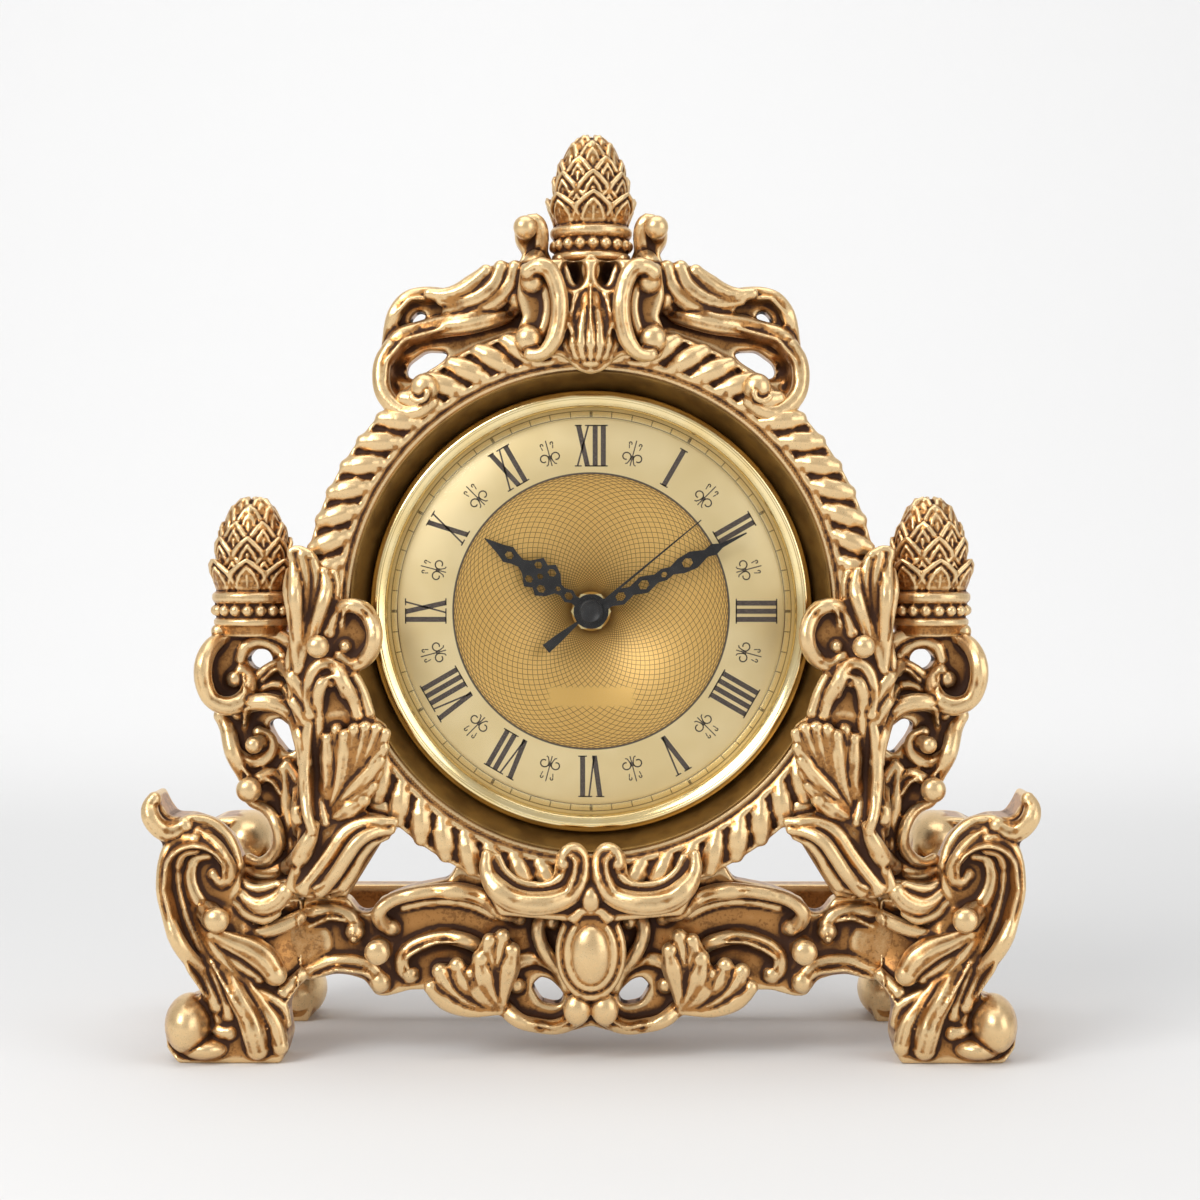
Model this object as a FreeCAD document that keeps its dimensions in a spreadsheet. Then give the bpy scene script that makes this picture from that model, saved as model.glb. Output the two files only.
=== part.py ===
import FreeCAD, Part
import math
import os
import Sketcher
from FreeCAD import Vector

# Steeple clock: a rococo mantel clock of cast resin with a battery movement.
# Millimetres. X runs along the clock's width, the dial faces -Y, Z is up,
# and the origin lies on the table under the middle of the clock.

doc = FreeCAD.newDocument("steeple_clock")
sheet = doc.addObject("Spreadsheet::Sheet", "dimensions")

TABLE = [
    # the whole clock
    ("casting_back", 18.0, "back plane of the front castings, in front of the middle"),
    ("plate_thick", 9.0, "plain thickness of the pierced front castings"),
    ("overlay_thick", 2.5, "thickness of the leaves that lie over the dial ring"),
    ("scroll_rise", 8.0, "height of a main scroll's ridge above its plate"),
    ("leaf_rise", 5.0, "height of a leaf's rib above its plate"),
    ("ridge_root", 2.0, "depth of every ridge's root inside its plate"),
    ("leg_thick", 17.0, "plain thickness of a leg"),
    ("leg_back", 20.0, "back plane of a front leg, in front of the middle"),
    # dial ring
    ("ring_radius", 82.1, "outer radius of the dial ring, which the whole drawing follows"),
    ("rope_seat_rise", 14.5, "seat of the rope border above the casting back"),
    ("rope_rise", 4.5, "height of the rope border above its seat"),
    ("lip_step", 3.0, "front of the raised lip above the rope's seat"),
    ("cove_rise", 7.0, "edge of the cove at the bezel, above the casting back"),
    ("rope_strands", 60, "strands of the rope border all round"),
    # drum and its cover
    ("drum_lap", 2.6, "how far the drum reaches over the ring's bore"),
    ("drum_wall", 7.0, "radial thickness of the drum"),
    ("drum_depth", 19.0, "depth of the drum behind the ring"),
    ("cover_thick", 2.2, "thickness of the rear cover"),
    ("window_gap", 2.5, "gap between the rear cover's window and the case in it"),
    ("screw_radius", 2.4, "head radius of a cover screw"),
    ("screw_head", 1.5, "head height of a cover screw"),
    # bezel, lens and dial
    ("bezel_rise", 12.0, "front of the bezel above the casting back"),
    ("bezel_wall", 3.1, "radial thickness of the bezel round the lens"),
    ("bezel_ledge", 1.7, "how far the bezel's inner lip covers the lens"),
    ("bezel_fit", 0.05, "gap round the bezel, the lens and the dial"),
    ("bezel_lip", 2.2, "thickness of the bezel's inner lip"),
    ("lens_thick", 1.4, "thickness of the lens"),
    ("lens_dome", 5.0, "height of the lens's dome"),
    ("lens_gap", 2.0, "height of the skirt between lens and dial"),
    ("skirt_width", 1.5, "radial width of the lens's skirt"),
    ("dial_thick", 0.8, "thickness of the dial plate"),
    # hands
    ("hand_thick", 0.4, "thickness of a hand's sheet"),
    ("hand_gap", 0.4, "gap between two hands"),
    ("hour_hub", 5.0, "radius of the hour hand's boss"),
    ("minute_hub", 4.2, "radius of the minute hand's boss"),
    ("cap_radius", 3.4, "radius of the second hand's cap"),
    ("cap_thick", 0.9, "height of the second hand's cap"),
    ("hour_clock_angle", 304.5, "hour hand's angle, clockwise from twelve"),
    ("minute_clock_angle", 63.2, "minute hand's angle, clockwise from twelve"),
    ("second_clock_angle", 50.3, "second hand's angle, clockwise from twelve"),
    # arbors
    ("arbor_fit", 0.05, "running gap round every arbor and tube"),
    ("second_arbor_radius", 0.7, "radius of the second hand's arbor"),
    ("minute_tube_radius", 1.7, "radius of the minute hand's tube"),
    ("hour_tube_radius", 2.6, "radius of the hour hand's tube"),
    ("bushing_radius", 3.8, "radius of the movement's threaded bushing"),
    ("nut_width", 10.0, "width across the flats of the dial nut"),
    ("nut_thick", 1.4, "thickness of the dial nut"),
    # movement
    ("case_end_room", 0.4, "room between a battery contact and the case's side wall"),
    ("bay_room", 0.2, "gap between the battery and the bay's front wall"),
    ("case_front_depth", 8.0, "depth of the front half of the case"),
    ("case_wall", 1.8, "wall thickness of the movement case"),
    ("battery_radius", 7.1, "radius of the battery"),
    ("battery_body", 49.2, "length of the battery without its button"),
    ("button_radius", 2.7, "radius of the battery's button"),
    ("button_length", 1.3, "length of the battery's button"),
    ("battery_fit", 0.15, "gap between the battery and its bay"),
    ("contact_thick", 0.4, "thickness of a battery contact"),
    ("wheel_thick", 1.0, "thickness of a wheel"),
    ("pinion_thick", 1.8, "thickness of a pinion"),
    ("level_gap", 0.4, "gap between wheels on neighbouring levels"),
    ("setting_distance", 9.6, "dial centre to the setting wheel"),
    ("setting_shaft_radius", 1.2, "radius of the setting wheel's shaft"),
    ("second_wheel_radius", 4.6, "radius of the wheel on the second hand's arbor"),
    ("knob_radius", 4.0, "radius of the setting knob"),
    ("knob_thick", 2.6, "thickness of the setting knob"),
    ("board_thick", 0.8, "thickness of the circuit board"),
    ("coil_radius", 3.0, "radius of the motor's coil"),
    ("coil_length", 15.0, "length of the motor's coil"),
    ("stator_thick", 1.0, "thickness of the motor's stator"),
    # base
    ("rear_inset", 20.0, "front plane of a rear leg, behind the middle"),
    ("rear_leg_thick", 22.0, "thickness of a rear leg"),
    ("rail_thick", 9.0, "thickness of the rear rail"),
    ("side_rail_thick", 9.0, "thickness of a side rail"),
    ("cabochon_rise", 3.5, "height of the cartouche's cabochon"),
]


class Size:
    """A size that is known both as a number and as the sheet's expression for it."""

    def __init__(self, value, text):
        self.value = value
        self.text = text

    def __add__(self, other):
        return Size(self.value + number(other), f"({self.text} + {words(other)})")

    def __sub__(self, other):
        return Size(self.value - number(other), f"({self.text} - {words(other)})")

    def __mul__(self, share):
        return Size(self.value * number(share), f"({self.text} * {words(share)})")

    def __truediv__(self, share):
        return Size(self.value / number(share), f"({self.text} / {words(share)})")

    def __neg__(self):
        return Size(-self.value, f"(0 - {self.text})")


def number(size):
    return size.value if isinstance(size, Size) else float(size)


def words(size):
    return size.text if isinstance(size, Size) else repr(size)


class Sizes:
    """The table's rows, by name."""


mm = Sizes()
for row, (alias, value, note) in enumerate(TABLE, start=1):
    sheet.set(f"A{row}", alias)
    sheet.set(f"B{row}", str(value))
    sheet.set(f"C{row}", note)
    sheet.setAlias(f"B{row}", alias)
    setattr(mm, alias, Size(float(value), "dimensions." + alias))
doc.recompute()


def place(thing, **offsets):
    """Bind a piece's place to the sheet: place(thing, z=dial_height)."""
    for axis, offset in offsets.items():
        thing.setExpression("Placement.Base." + axis, offset.text)


def new_body(label, **offsets):
    body = doc.addObject("PartDesign::Body", label)
    body.Label = label
    place(body, **offsets)
    return body


def new_sketch(body, name, role="XY_Plane", offset=None):
    """A sketch on one of the body's own planes, moved along the plane's normal."""
    sketch = body.newObject("Sketcher::SketchObject", name)
    plane = next(each for each in body.Origin.OriginFeatures if each.Role == role)
    sketch.AttachmentSupport = (plane, "")
    sketch.MapMode = "FlatFace"
    if offset is not None:
        sketch.setExpression("AttachmentOffset.Base.z", offset.text)
    return sketch


def pin(sketch, index, end, across, up):
    """Fix one end of an edge at a place that the sheet gives."""
    for kind, distance, axis in (("DistanceX", across, -2), ("DistanceY", up, -1)):
        if number(distance) == 0:
            sketch.addConstraint(Sketcher.Constraint("PointOnObject", index, end, axis))
        else:
            pair = (kind, index, end, number(distance))
            entry = sketch.addConstraint(Sketcher.Constraint(*pair))
            sketch.setExpression(f"Constraints[{entry}]", distance.text)


def outline(sketch, corners):
    """A closed outline of straight edges whose corners are pinned."""
    first = sketch.GeometryCount
    count = len(corners)
    points = [Vector(number(across), number(up), 0) for across, up in corners]
    for i in range(count):
        sketch.addGeometry(Part.LineSegment(points[i], points[(i + 1) % count]))
    for i in range(count):
        nearest = first + (i + 1) % count
        sketch.addConstraint(Sketcher.Constraint("Coincident", first + i, 2, nearest, 1))
        pin(sketch, first + i, 1, *corners[i])


def circle(sketch, radius, across=0, up=0):
    centre = Vector(number(across), number(up), 0)
    index = sketch.addGeometry(Part.Circle(centre, Vector(0, 0, 1), number(radius)))
    pin(sketch, index, 3, across, up)
    entry = sketch.addConstraint(Sketcher.Constraint("Radius", index, number(radius)))
    sketch.setExpression(f"Constraints[{entry}]", radius.text)


def box_outline(sketch, left, bottom, right, top):
    outline(sketch, [(left, bottom), (right, bottom), (right, top), (left, top)])


def pad(body, name, start, length, draw, *args):
    """Pad what draw() puts in a sketch that faces the dial, from start towards +Y."""
    sketch = new_sketch(body, name + "_sketch", "XZ_Plane", -start)
    draw(sketch, *args)
    feature = body.newObject("PartDesign::Pad", name)
    feature.Profile = sketch
    feature.setExpression("Length", length.text)
    feature.Reversed = True
    return feature


def pocket(body, name, start, length, draw, *args):
    """Cut what draw() puts in a sketch, from start towards +Y."""
    sketch = new_sketch(body, name + "_sketch", "XZ_Plane", -start)
    draw(sketch, *args)
    feature = body.newObject("PartDesign::Pocket", name)
    feature.Profile = sketch
    feature.setExpression("Length", length.text)
    feature.Reversed = False
    return feature


# Castings. Their outlines are traced on the front plane in steps of drawing_step,
# counted rightwards and downwards, for the left half; the right half mirrors it.

AXIS_STEPS = 591
FLOOR_STEPS = 1061
DIAL_STEPS = 611.87
RING_STEPS = 287.4
drawing_step = mm.ring_radius / RING_STEPS
dial_height = drawing_step * (FLOOR_STEPS - DIAL_STEPS)

BORE_SHARE = 0.7722
LIP_INNER_SHARE = 0.8283
LIP_OUTER_SHARE = 0.8953
ROPE_INNER_SHARE = 0.9013
ROPE_OUTER_SHARE = 0.9769
HOUR_REACH_SHARE = 0.4507
MINUTE_REACH_SHARE = 0.6090
SECOND_REACH_SHARE = 0.4994
ring_bore_radius = mm.ring_radius * BORE_SHARE
bezel_seat_radius = ring_bore_radius - mm.bezel_wall
bezel_edge_radius = bezel_seat_radius - mm.bezel_ledge
drum_radius = ring_bore_radius + mm.drum_lap
lip_rise = mm.rope_seat_rise + mm.lip_step

SHARP_TURN = math.radians(38)
ROUND_SIDES = 9
LATHE_SIDES = 60
END_SHARE = 0.3
CROWN_SHARE = 0.5


def traced(across, down):
    step = number(drawing_step)
    return (across - AXIS_STEPS) * step, (FLOOR_STEPS - down) * step


def eased(line):
    """The traced line with a point of its Catmull-Rom curve in each sharp turn."""
    def heading(i):
        return math.atan2(line[i + 1][1] - line[i][1], line[i + 1][0] - line[i][0])

    def turn(i):
        if i < 1 or i > len(line) - 2:
            return 0
        return abs(math.remainder(heading(i) - heading(i - 1), math.tau))

    points = [line[0]]
    for i in range(len(line) - 1):
        if turn(i) + turn(i + 1) > 2 * SHARP_TURN:
            before, after = line[max(i - 1, 0)], line[min(i + 2, len(line) - 1)]
            near, far = line[i], line[i + 1]
            bend = [(9 * (a + b) - p - q) / 16 for p, a, b, q in zip(before, near, far, after)]
            points.append(tuple(bend))
        points.append(line[i + 1])
    return points


def solid_from(vertices, facets):
    """A closed solid with its flat faces made whole, from a closed net of triangles."""
    skin = Part.Shape()
    skin.makeShapeFromMesh((vertices, facets), 1e-4)
    solid = Part.makeSolid(skin)
    if solid.Volume < 0:
        solid.reverse()
    return solid.removeSplitter()


def faceted(loops):
    """A closed solid through rows of points, one row after another, ends closed."""
    count = len(loops[0])
    vertices = [Vector(*point) for loop in loops for point in loop]
    facets = []
    for k in range(len(loops) - 1):
        for i in range(count):
            a, b = k * count + i, k * count + (i + 1) % count
            facets += [(a, b, b + count), (a, b + count, a + count)]
    last = (len(loops) - 1) * count
    for i in range(1, count - 1):
        facets += [(0, i + 1, i), (last, last + i, last + i + 1)]
    return solid_from(vertices, facets)


def lathed(profile):
    """A solid turned about the dial's axis in flat facets, from (radius, rise) corners."""
    vertices = []
    index = {}

    def corner(radius, rise, k):
        angle = math.tau * (k % LATHE_SIDES) / LATHE_SIDES
        spot = Vector(radius * math.sin(angle), -rise, radius * math.cos(angle))
        key = tuple(round(axis, 5) for axis in spot)
        if key not in index:
            index[key] = len(vertices)
            vertices.append(spot)
        return index[key]

    rows = [(number(radius), number(rise)) for radius, rise in profile]
    facets = []
    for k in range(LATHE_SIDES):
        for near, far in zip(rows, rows[1:] + rows[:1]):
            a, b = corner(*near, k), corner(*far, k)
            c, d = corner(*far, k + 1), corner(*near, k + 1)
            facets += [each for each in ((a, b, c), (a, c, d)) if len(set(each)) == 3]
    return solid_from(vertices, facets)


def band(line, low, high):
    """A keeled scroll or rib along a traced line of (across, down, half width)."""
    step = number(drawing_step)
    points = eased(line)
    places = [Vector(*traced(across, down), 0) for across, down, half in points]
    loops = []
    for i, (across, down, half) in enumerate(points):
        ahead = places[min(i + 1, len(points) - 1)] - places[max(i - 1, 0)]
        ahead.normalize()
        side = Vector(-ahead.y, ahead.x, 0) * half * step
        share = END_SHARE if i in (0, len(points) - 1) else 1
        keel = low + (high - low) * math.sqrt(share)
        rows = ((1, low), (0, keel), (-1, low))
        spots = [(places[i] + side * reach * share, level) for reach, level in rows]
        loops.append([(spot.x, -level, spot.y) for spot, level in spots])
    return faceted(loops)


def mound(across, down, wide, tall, low, high, crown=CROWN_SHARE):
    """A bead, ball or boss: an oval frustum, its half sizes traced."""
    step = number(drawing_step)
    x, z = traced(across, down)
    loops = []
    for share, level in ((1, low), (crown, high)):
        loop = []
        for k in range(ROUND_SIDES):
            angle = math.tau * (k + 0.5) / ROUND_SIDES
            right = wide * step * share * math.cos(angle)
            up = tall * step * share * math.sin(angle)
            loop.append((x + right, -level, z + up))
        loops.append(loop)
    return faceted(loops)


def plate(corners, low, high, holes=()):
    """A pierced flat plate with a traced outline, between two depths."""
    def wire(points):
        spots = [traced(across, down) for across, down in points]
        loop = [Vector(x, -low, z) for x, z in spots]
        return Part.makePolygon(loop + loop[:1])

    face = Part.Face(wire(corners))
    for hole in holes:
        face = face.cut(Part.Face(wire(hole)))
    return face.extrude(Vector(0, low - high, 0))


def mirrored(shape):
    return shape.mirror(Vector(), Vector(1, 0, 0))


def joined(shapes):
    whole = shapes[0].multiFuse(shapes[1:]) if len(shapes) > 1 else shapes[0]
    return whole.removeSplitter()


def ring_space():
    """The room that the dial ring and its rope border take up among the castings."""
    radius = number(mm.ring_radius)
    depth = number(mm.rope_seat_rise + mm.rope_rise)
    centre = Vector(0, 0, number(dial_height))
    return Part.makeCylinder(radius, depth, centre, Vector(0, -1, 0))


def add_casting(label, shape, front=None):
    """A casting as a document object, its back plane set on its seat."""
    piece = doc.addObject("Part::Feature", label)
    piece.Label = label
    piece.Shape = shape
    place(piece, y=-(front or mm.casting_back))
    return piece


def add_turned(label, shape):
    """A piece that is set about the middle of the dial."""
    piece = add_casting(label, shape)
    place(piece, z=dial_height)
    return piece


plain = number(mm.plate_thick)
over_ring = number(mm.rope_seat_rise + mm.rope_rise)
proud = over_ring + number(mm.overlay_thick)
sunk = number(mm.ridge_root)
LEVELS = {
    "scroll": (plain - sunk, plain + number(mm.scroll_rise)),
    "leaf": (plain - sunk, plain + number(mm.leaf_rise)),
    "proud": (proud - sunk, proud + number(mm.leaf_rise)),
}


def ornament(scrolls, mounds):
    shapes = [band(line, *LEVELS[level]) for line, level in scrolls]
    for across, down, wide, tall, level in mounds:
        shapes.append(mound(across, down, wide, tall, *LEVELS[level]))
    return shapes


def other_side(corners):
    return [(2 * AXIS_STEPS - across, down) for across, down in corners]


def whole(half):
    """A half outline, its first and last corners on the axis, with its mirror image."""
    return half + other_side(reversed(half[1:-1]))


# Crest
CREST_HALF = [
    (591, 262), (553, 262), (545, 243), (534, 223), (525, 219), (514, 226), (514, 240),
    (522, 252), (519, 262), (493, 263), (467, 277), (448, 290), (430, 287), (408, 293),
    (391, 314), (384, 345), (374, 365), (373, 388), (383, 411), (420, 460), (591, 460),
]
CREST_HOLES = [
    [(408, 320), (417, 309), (426, 313), (424, 319), (410, 325)],
    [(404, 374), (407, 363), (425, 350), (450, 351), (440, 362), (412, 379)],
]
CREST_SCROLLS = [
    ([(519, 312, 7), (490, 321, 9), (445, 330, 9), (405, 341, 10),
      (388, 362, 10), (387, 385, 10), (398, 404, 9), (416, 409, 8), (431, 400, 6)], "scroll"),
    ([(514, 286, 11), (480, 296, 10), (440, 297, 9), (410, 299, 8), (395, 316, 7),
      (388, 342, 4)], "leaf"),
    ([(448, 300, 4), (466, 286, 7), (483, 270, 3)], "leaf"),
    ([(529, 286, 6), (537, 272, 6), (553, 278, 7), (561, 298, 8), (562, 325, 8),
      (553, 350, 8), (535, 358, 7), (523, 345, 6)], "proud"),
    ([(577, 296, 4), (570, 330, 8), (580, 368, 4)], "proud"),
]
CREST_MOUNDS = [(526, 232, 12, 12, "scroll"), (424, 386, 11, 11, "scroll")]
CREST_TONGUE = [
    (591, 264), (548, 264), (522, 268), (518, 300), (524, 320), (514, 345), (522, 362),
    (540, 367), (556, 358), (566, 362), (578, 374), (591, 378),
]
CREST_DROP = [([(591, 288, 5), (591, 330, 10), (591, 374, 5)], "proud")]


def make_crest():
    holes = CREST_HOLES + [other_side(hole) for hole in CREST_HOLES]
    base = plate(whole(CREST_HALF), 0, plain, holes)
    tongue = plate(whole(CREST_TONGUE), 0, proud)
    half = ornament(CREST_SCROLLS, CREST_MOUNDS)
    both = half + [mirrored(each) for each in half] + ornament(CREST_DROP, [])
    add_casting("crest", joined([base, tongue] + both).cut(ring_space()))


# Side brackets
BRACKET = [
    (215, 637), (203, 645), (197, 660), (197, 685), (204, 704), (216, 714), (223, 724),
    (225, 752), (233, 770), (237, 790), (244, 801), (262, 806), (277, 826), (275, 848),
    (262, 862), (243, 868), (243, 900), (345, 900), (420, 780), (420, 640), (300, 622),
    (287, 637),
]
BRACKET_HOLES = [
    [(244, 660), (251, 650), (265, 650), (271, 660), (265, 670), (251, 670)],
    [(265, 724), (276, 719), (290, 730), (297, 748), (286, 756), (272, 738)],
]
BRACKET_OVERLAY = [
    (299, 549), (318, 551), (328, 568), (338, 567), (343, 582), (340, 604), (356, 599),
    (373, 604), (384, 620), (386, 640), (378, 658), (356, 672), (366, 690), (375, 712),
    (391, 724), (389, 742), (380, 764), (372, 790), (360, 808), (398, 815), (396, 832),
    (380, 838), (362, 864), (345, 888), (312, 896), (286, 886), (300, 850), (300, 780),
    (304, 735), (292, 700), (288, 660), (297, 620), (292, 580),
]
BRACKET_SCROLLS = [
    ([(216, 641, 6), (205, 657, 8), (204, 682, 8), (215, 701, 8), (233, 705, 7),
      (246, 692, 6), (242, 674, 5)], "scroll"),
    ([(258, 684, 5), (272, 670, 7), (288, 672, 7), (302, 692, 6)], "leaf"),
    ([(241, 730, 6), (246, 710, 8), (266, 701, 8), (290, 712, 8), (304, 738, 7)], "scroll"),
    ([(228, 722, 5), (230, 752, 7), (248, 777, 6), (272, 782, 7), (286, 812, 6)], "leaf"),
    ([(256, 808, 5), (274, 822, 7), (277, 843, 7), (258, 868, 7)], "leaf"),
    ([(313, 722, 7), (311, 770, 9), (315, 825, 9), (300, 870, 7)], "proud"),
    ([(324, 812, 6), (345, 765, 10), (386, 729, 5)], "proud"),
    ([(394, 820, 4), (362, 836, 10), (338, 870, 9), (312, 888, 5)], "proud"),
    ([(302, 640, 6), (301, 598, 9), (306, 556, 5)], "proud"),
    ([(316, 632, 5), (330, 602, 7), (335, 574, 3)], "proud"),
    ([(344, 628, 5), (349, 609, 5), (366, 604, 6), (379, 622, 6), (376, 648, 6),
      (356, 661, 5)], "proud"),
    ([(316, 715, 6), (324, 684, 8), (342, 674, 7), (362, 700, 4)], "proud"),
]
BRACKET_MOUNDS = [
    (258, 742, 12, 12, "leaf"), (249, 788, 12, 12, "leaf"), (324, 647, 11, 11, "proud"),
]


def make_brackets():
    base = plate(BRACKET, 0, plain, BRACKET_HOLES)
    overlay = plate(BRACKET_OVERLAY, 0, proud)
    shape = joined([base, overlay] + ornament(BRACKET_SCROLLS, BRACKET_MOUNDS))
    shape = shape.cut(ring_space())
    add_casting("side_bracket_left", shape)
    add_casting("side_bracket_right", mirrored(shape))


# Apron
APRON_HALF = [
    (591, 1031), (565, 1038), (530, 1034), (500, 1022), (480, 1010), (466, 999), (445, 995),
    (410, 994), (385, 1001), (373, 1000), (362, 984), (345, 979), (330, 978), (300, 985),
    (300, 900), (345, 900), (357, 915), (368, 916), (385, 899), (410, 889), (447, 882),
    (455, 868), (470, 820), (591, 780),
]
APRON_HOLE = [(531, 990), (540, 981), (550, 984), (564, 998), (560, 1010), (541, 1007)]
APRON_SMILE = [
    (591, 920), (500, 912), (484, 880), (481, 862), (484, 850), (492, 846), (501, 854),
    (510, 870), (525, 882), (541, 884), (554, 872), (556, 850), (567, 841), (578, 846),
    (591, 880),
]
APRON_SCROLLS = [
    ([(304, 930, 6), (328, 919, 7), (358, 927, 7)], "leaf"),
    ([(304, 984, 5), (335, 971, 7), (362, 974, 7), (377, 988, 6)], "leaf"),
    ([(392, 930, 5), (379, 920, 6), (382, 905, 7), (415, 895, 7), (455, 892, 7),
      (490, 903, 6), (516, 921, 4)], "scroll"),
    ([(407, 976, 5), (404, 960, 6), (435, 944, 6), (465, 943, 6), (489, 964, 4)], "leaf"),
    ([(430, 988, 5), (455, 968, 8), (486, 1000, 4)], "leaf"),
    ([(494, 1008, 5), (490, 975, 8), (508, 938, 4)], "leaf"),
    ([(498, 1008, 5), (520, 1022, 6), (556, 1028, 6), (580, 1018, 5)], "scroll"),
    ([(548, 917, 4), (538, 930, 6), (548, 960, 6), (563, 986, 4)], "leaf"),
    ([(566, 852, 4), (577, 855, 7), (568, 886, 9), (535, 897, 10), (500, 882, 9),
      (488, 855, 4)], "proud"),
]
APRON_MOUNDS = [
    (353, 940, 8, 8, "leaf"), (379, 951, 13, 13, "scroll"), (577, 1010, 12, 12, "scroll"),
]


CARTOUCHE_FRAME = (591, 950, 33, 45)
CARTOUCHE_JEWEL = (591, 950, 20, 30)
FRAME_CROWN_SHARE = 0.75
JEWEL_CROWN_SHARE = 0.4


def make_apron():
    """The apron with its smile of leaves, its pierced scrolls and the cartouche frame."""
    base = plate(whole(APRON_HALF), 0, plain, [APRON_HOLE, other_side(APRON_HOLE)])
    smile = plate(whole(APRON_SMILE), 0, proud)
    half = ornament(APRON_SCROLLS, APRON_MOUNDS)
    frame = mound(*CARTOUCHE_FRAME, 0, proud, FRAME_CROWN_SHARE)
    shapes = [base, smile, frame] + half + [mirrored(each) for each in half]
    add_casting("front_apron", joined(shapes).cut(ring_space()))
    jewel = mound(*CARTOUCHE_JEWEL, 0, number(mm.cabochon_rise), JEWEL_CROWN_SHARE)
    seat = mm.casting_back + mm.rope_seat_rise + mm.rope_rise + mm.overlay_thick
    add_casting("cartouche_cabochon", jewel, seat)


# Legs
LEG_FOOT = [
    (243, 900), (300, 900), (300, 985), (289, 1000), (286, 1012), (290, 1038), (283, 1061),
    (180, 1061), (168, 1046), (167, 1024), (177, 1005), (193, 997), (207, 999), (197, 970),
    (183, 945), (170, 918), (161, 885), (161, 860),
]
FRONT_LEG = LEG_FOOT + [
    (166, 842), (150, 828), (147, 808), (151, 793), (158, 790), (164, 803), (172, 815),
    (190, 815), (212, 822), (230, 838), (239, 858), (243, 868),
]
REAR_LEG = LEG_FOOT + [
    (168, 848), (184, 840), (205, 838), (225, 843), (238, 855), (243, 868),
]
LEG_SCROLLS = [
    ([(210, 996, 7), (196, 965, 9), (181, 925, 10), (171, 885, 10), (174, 858, 9),
      (190, 843, 9), (212, 843, 8), (230, 858, 7), (226, 880, 6)], 1),
    ([(214, 955, 6), (240, 995, 10), (266, 1050, 8)], 1),
    ([(237, 930, 5), (262, 947, 8), (284, 976, 4)], 0.6),
    ([(248, 905, 6), (268, 907, 8), (288, 908, 5)], 0.6),
    ([(152, 798, 4), (158, 820, 8), (186, 832, 6)], 0.6),
]
LEG_MOUNDS = [(190, 1029, 20, 20, 1), (223, 914, 13, 13, 0.8)]


def make_legs():
    thick = number(mm.leg_thick)
    rise = number(mm.scroll_rise)
    shapes = [plate(FRONT_LEG, 0, thick)]
    for line, share in LEG_SCROLLS:
        shapes.append(band(line, thick - sunk, thick + rise * share))
    for across, down, wide, tall, share in LEG_MOUNDS:
        shapes.append(mound(across, down, wide, tall, thick - sunk, thick + rise * share))
    shape = joined(shapes)
    add_casting("front_leg_left", shape, mm.leg_back)
    add_casting("front_leg_right", mirrored(shape), mm.leg_back)
    rear = plate(REAR_LEG, 0, number(mm.rear_leg_thick))
    seat = -(mm.rear_inset + mm.rear_leg_thick)
    add_casting("rear_leg_left", rear, seat)
    add_casting("rear_leg_right", mirrored(rear), seat)


# Rear and side rails
REAR_RAIL_HALF = [
    (591, 912), (300, 912), (300, 985), (330, 976), (365, 976), (400, 990), (470, 996),
    (530, 985), (591, 980),
]
SIDE_RAIL_STEP = 246
SIDE_RAIL = [(0, 905), (1, 905), (1, 985), (0.8, 976), (0.5, 972), (0.2, 976), (0, 985)]


def make_rails():
    rear = plate(whole(REAR_RAIL_HALF), 0, number(mm.rail_thick))
    add_casting("rear_rail", rear, -(mm.rear_inset + mm.rail_thick))
    step = number(drawing_step)
    length = number(mm.leg_back + mm.rear_inset)
    side = traced(SIDE_RAIL_STEP, 0)[0]
    corners = []
    for share, down in SIDE_RAIL:
        corners.append(Vector(side, length * share, traced(0, down)[1]))
    face = Part.Face(Part.makePolygon(corners + corners[:1]))
    left = face.extrude(Vector(number(mm.side_rail_thick), 0, 0))
    add_casting("side_rail_left", left, mm.leg_back)
    add_casting("side_rail_right", mirrored(left), mm.leg_back)


# Finials: a faceted cup with a beaded band and a cone of scales

FINIAL_SIDES = 12
TOP_FINIAL_SHARE = 0.92
VALLEY_SHARE = 0.86
VALLEY_STEPS = 7
SIDE_FINIAL_PLACE = (249, 637)
TOP_FINIAL_PLACE = (591, 262)
FINIAL_PROFILE = [
    # traced radius, traced height, and whether the row zigzags as a tier of scales
    (22, 0, False), (31, 10, False), (31, 19, False), (26, 23, False), (41, 34, False),
    (41, 45, False), (46, 73, True), (33, 68, False), (37, 97, True), (25, 92, False),
    (28, 115, True), (16, 110, False), (16, 128, True), (3, 141, False),
]


def finial(label, place_steps, share):
    step = number(drawing_step) * share
    x, z = traced(*place_steps)
    loops = []
    for radius, height, zigzag in FINIAL_PROFILE:
        loop = []
        for k in range(FINIAL_SIDES):
            angle = math.tau * k / FINIAL_SIDES
            valley = zigzag and k % 2
            reach = radius * step * (VALLEY_SHARE if valley else 1)
            rise = (height - (VALLEY_STEPS if valley else 0)) * step
            loop.append((x + reach * math.cos(angle), reach * math.sin(angle), z + rise))
        loops.append(loop)
    add_casting(label, faceted(loops), mm.casting_back + mm.plate_thick / 2)


def make_finials():
    across, down = SIDE_FINIAL_PLACE
    finial("top_finial", TOP_FINIAL_PLACE, TOP_FINIAL_SHARE)
    finial("side_finial_left", SIDE_FINIAL_PLACE, 1)
    finial("side_finial_right", (2 * AXIS_STEPS - across, down), 1)


# Dial ring with its rope border

LEAN_SHARE = 0.55
BARE_SPANS = ((14, 75), (96, 106), (124, 156))
STRAND_SHARE = 0.46
HIP_SHARE = 0.3


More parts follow.
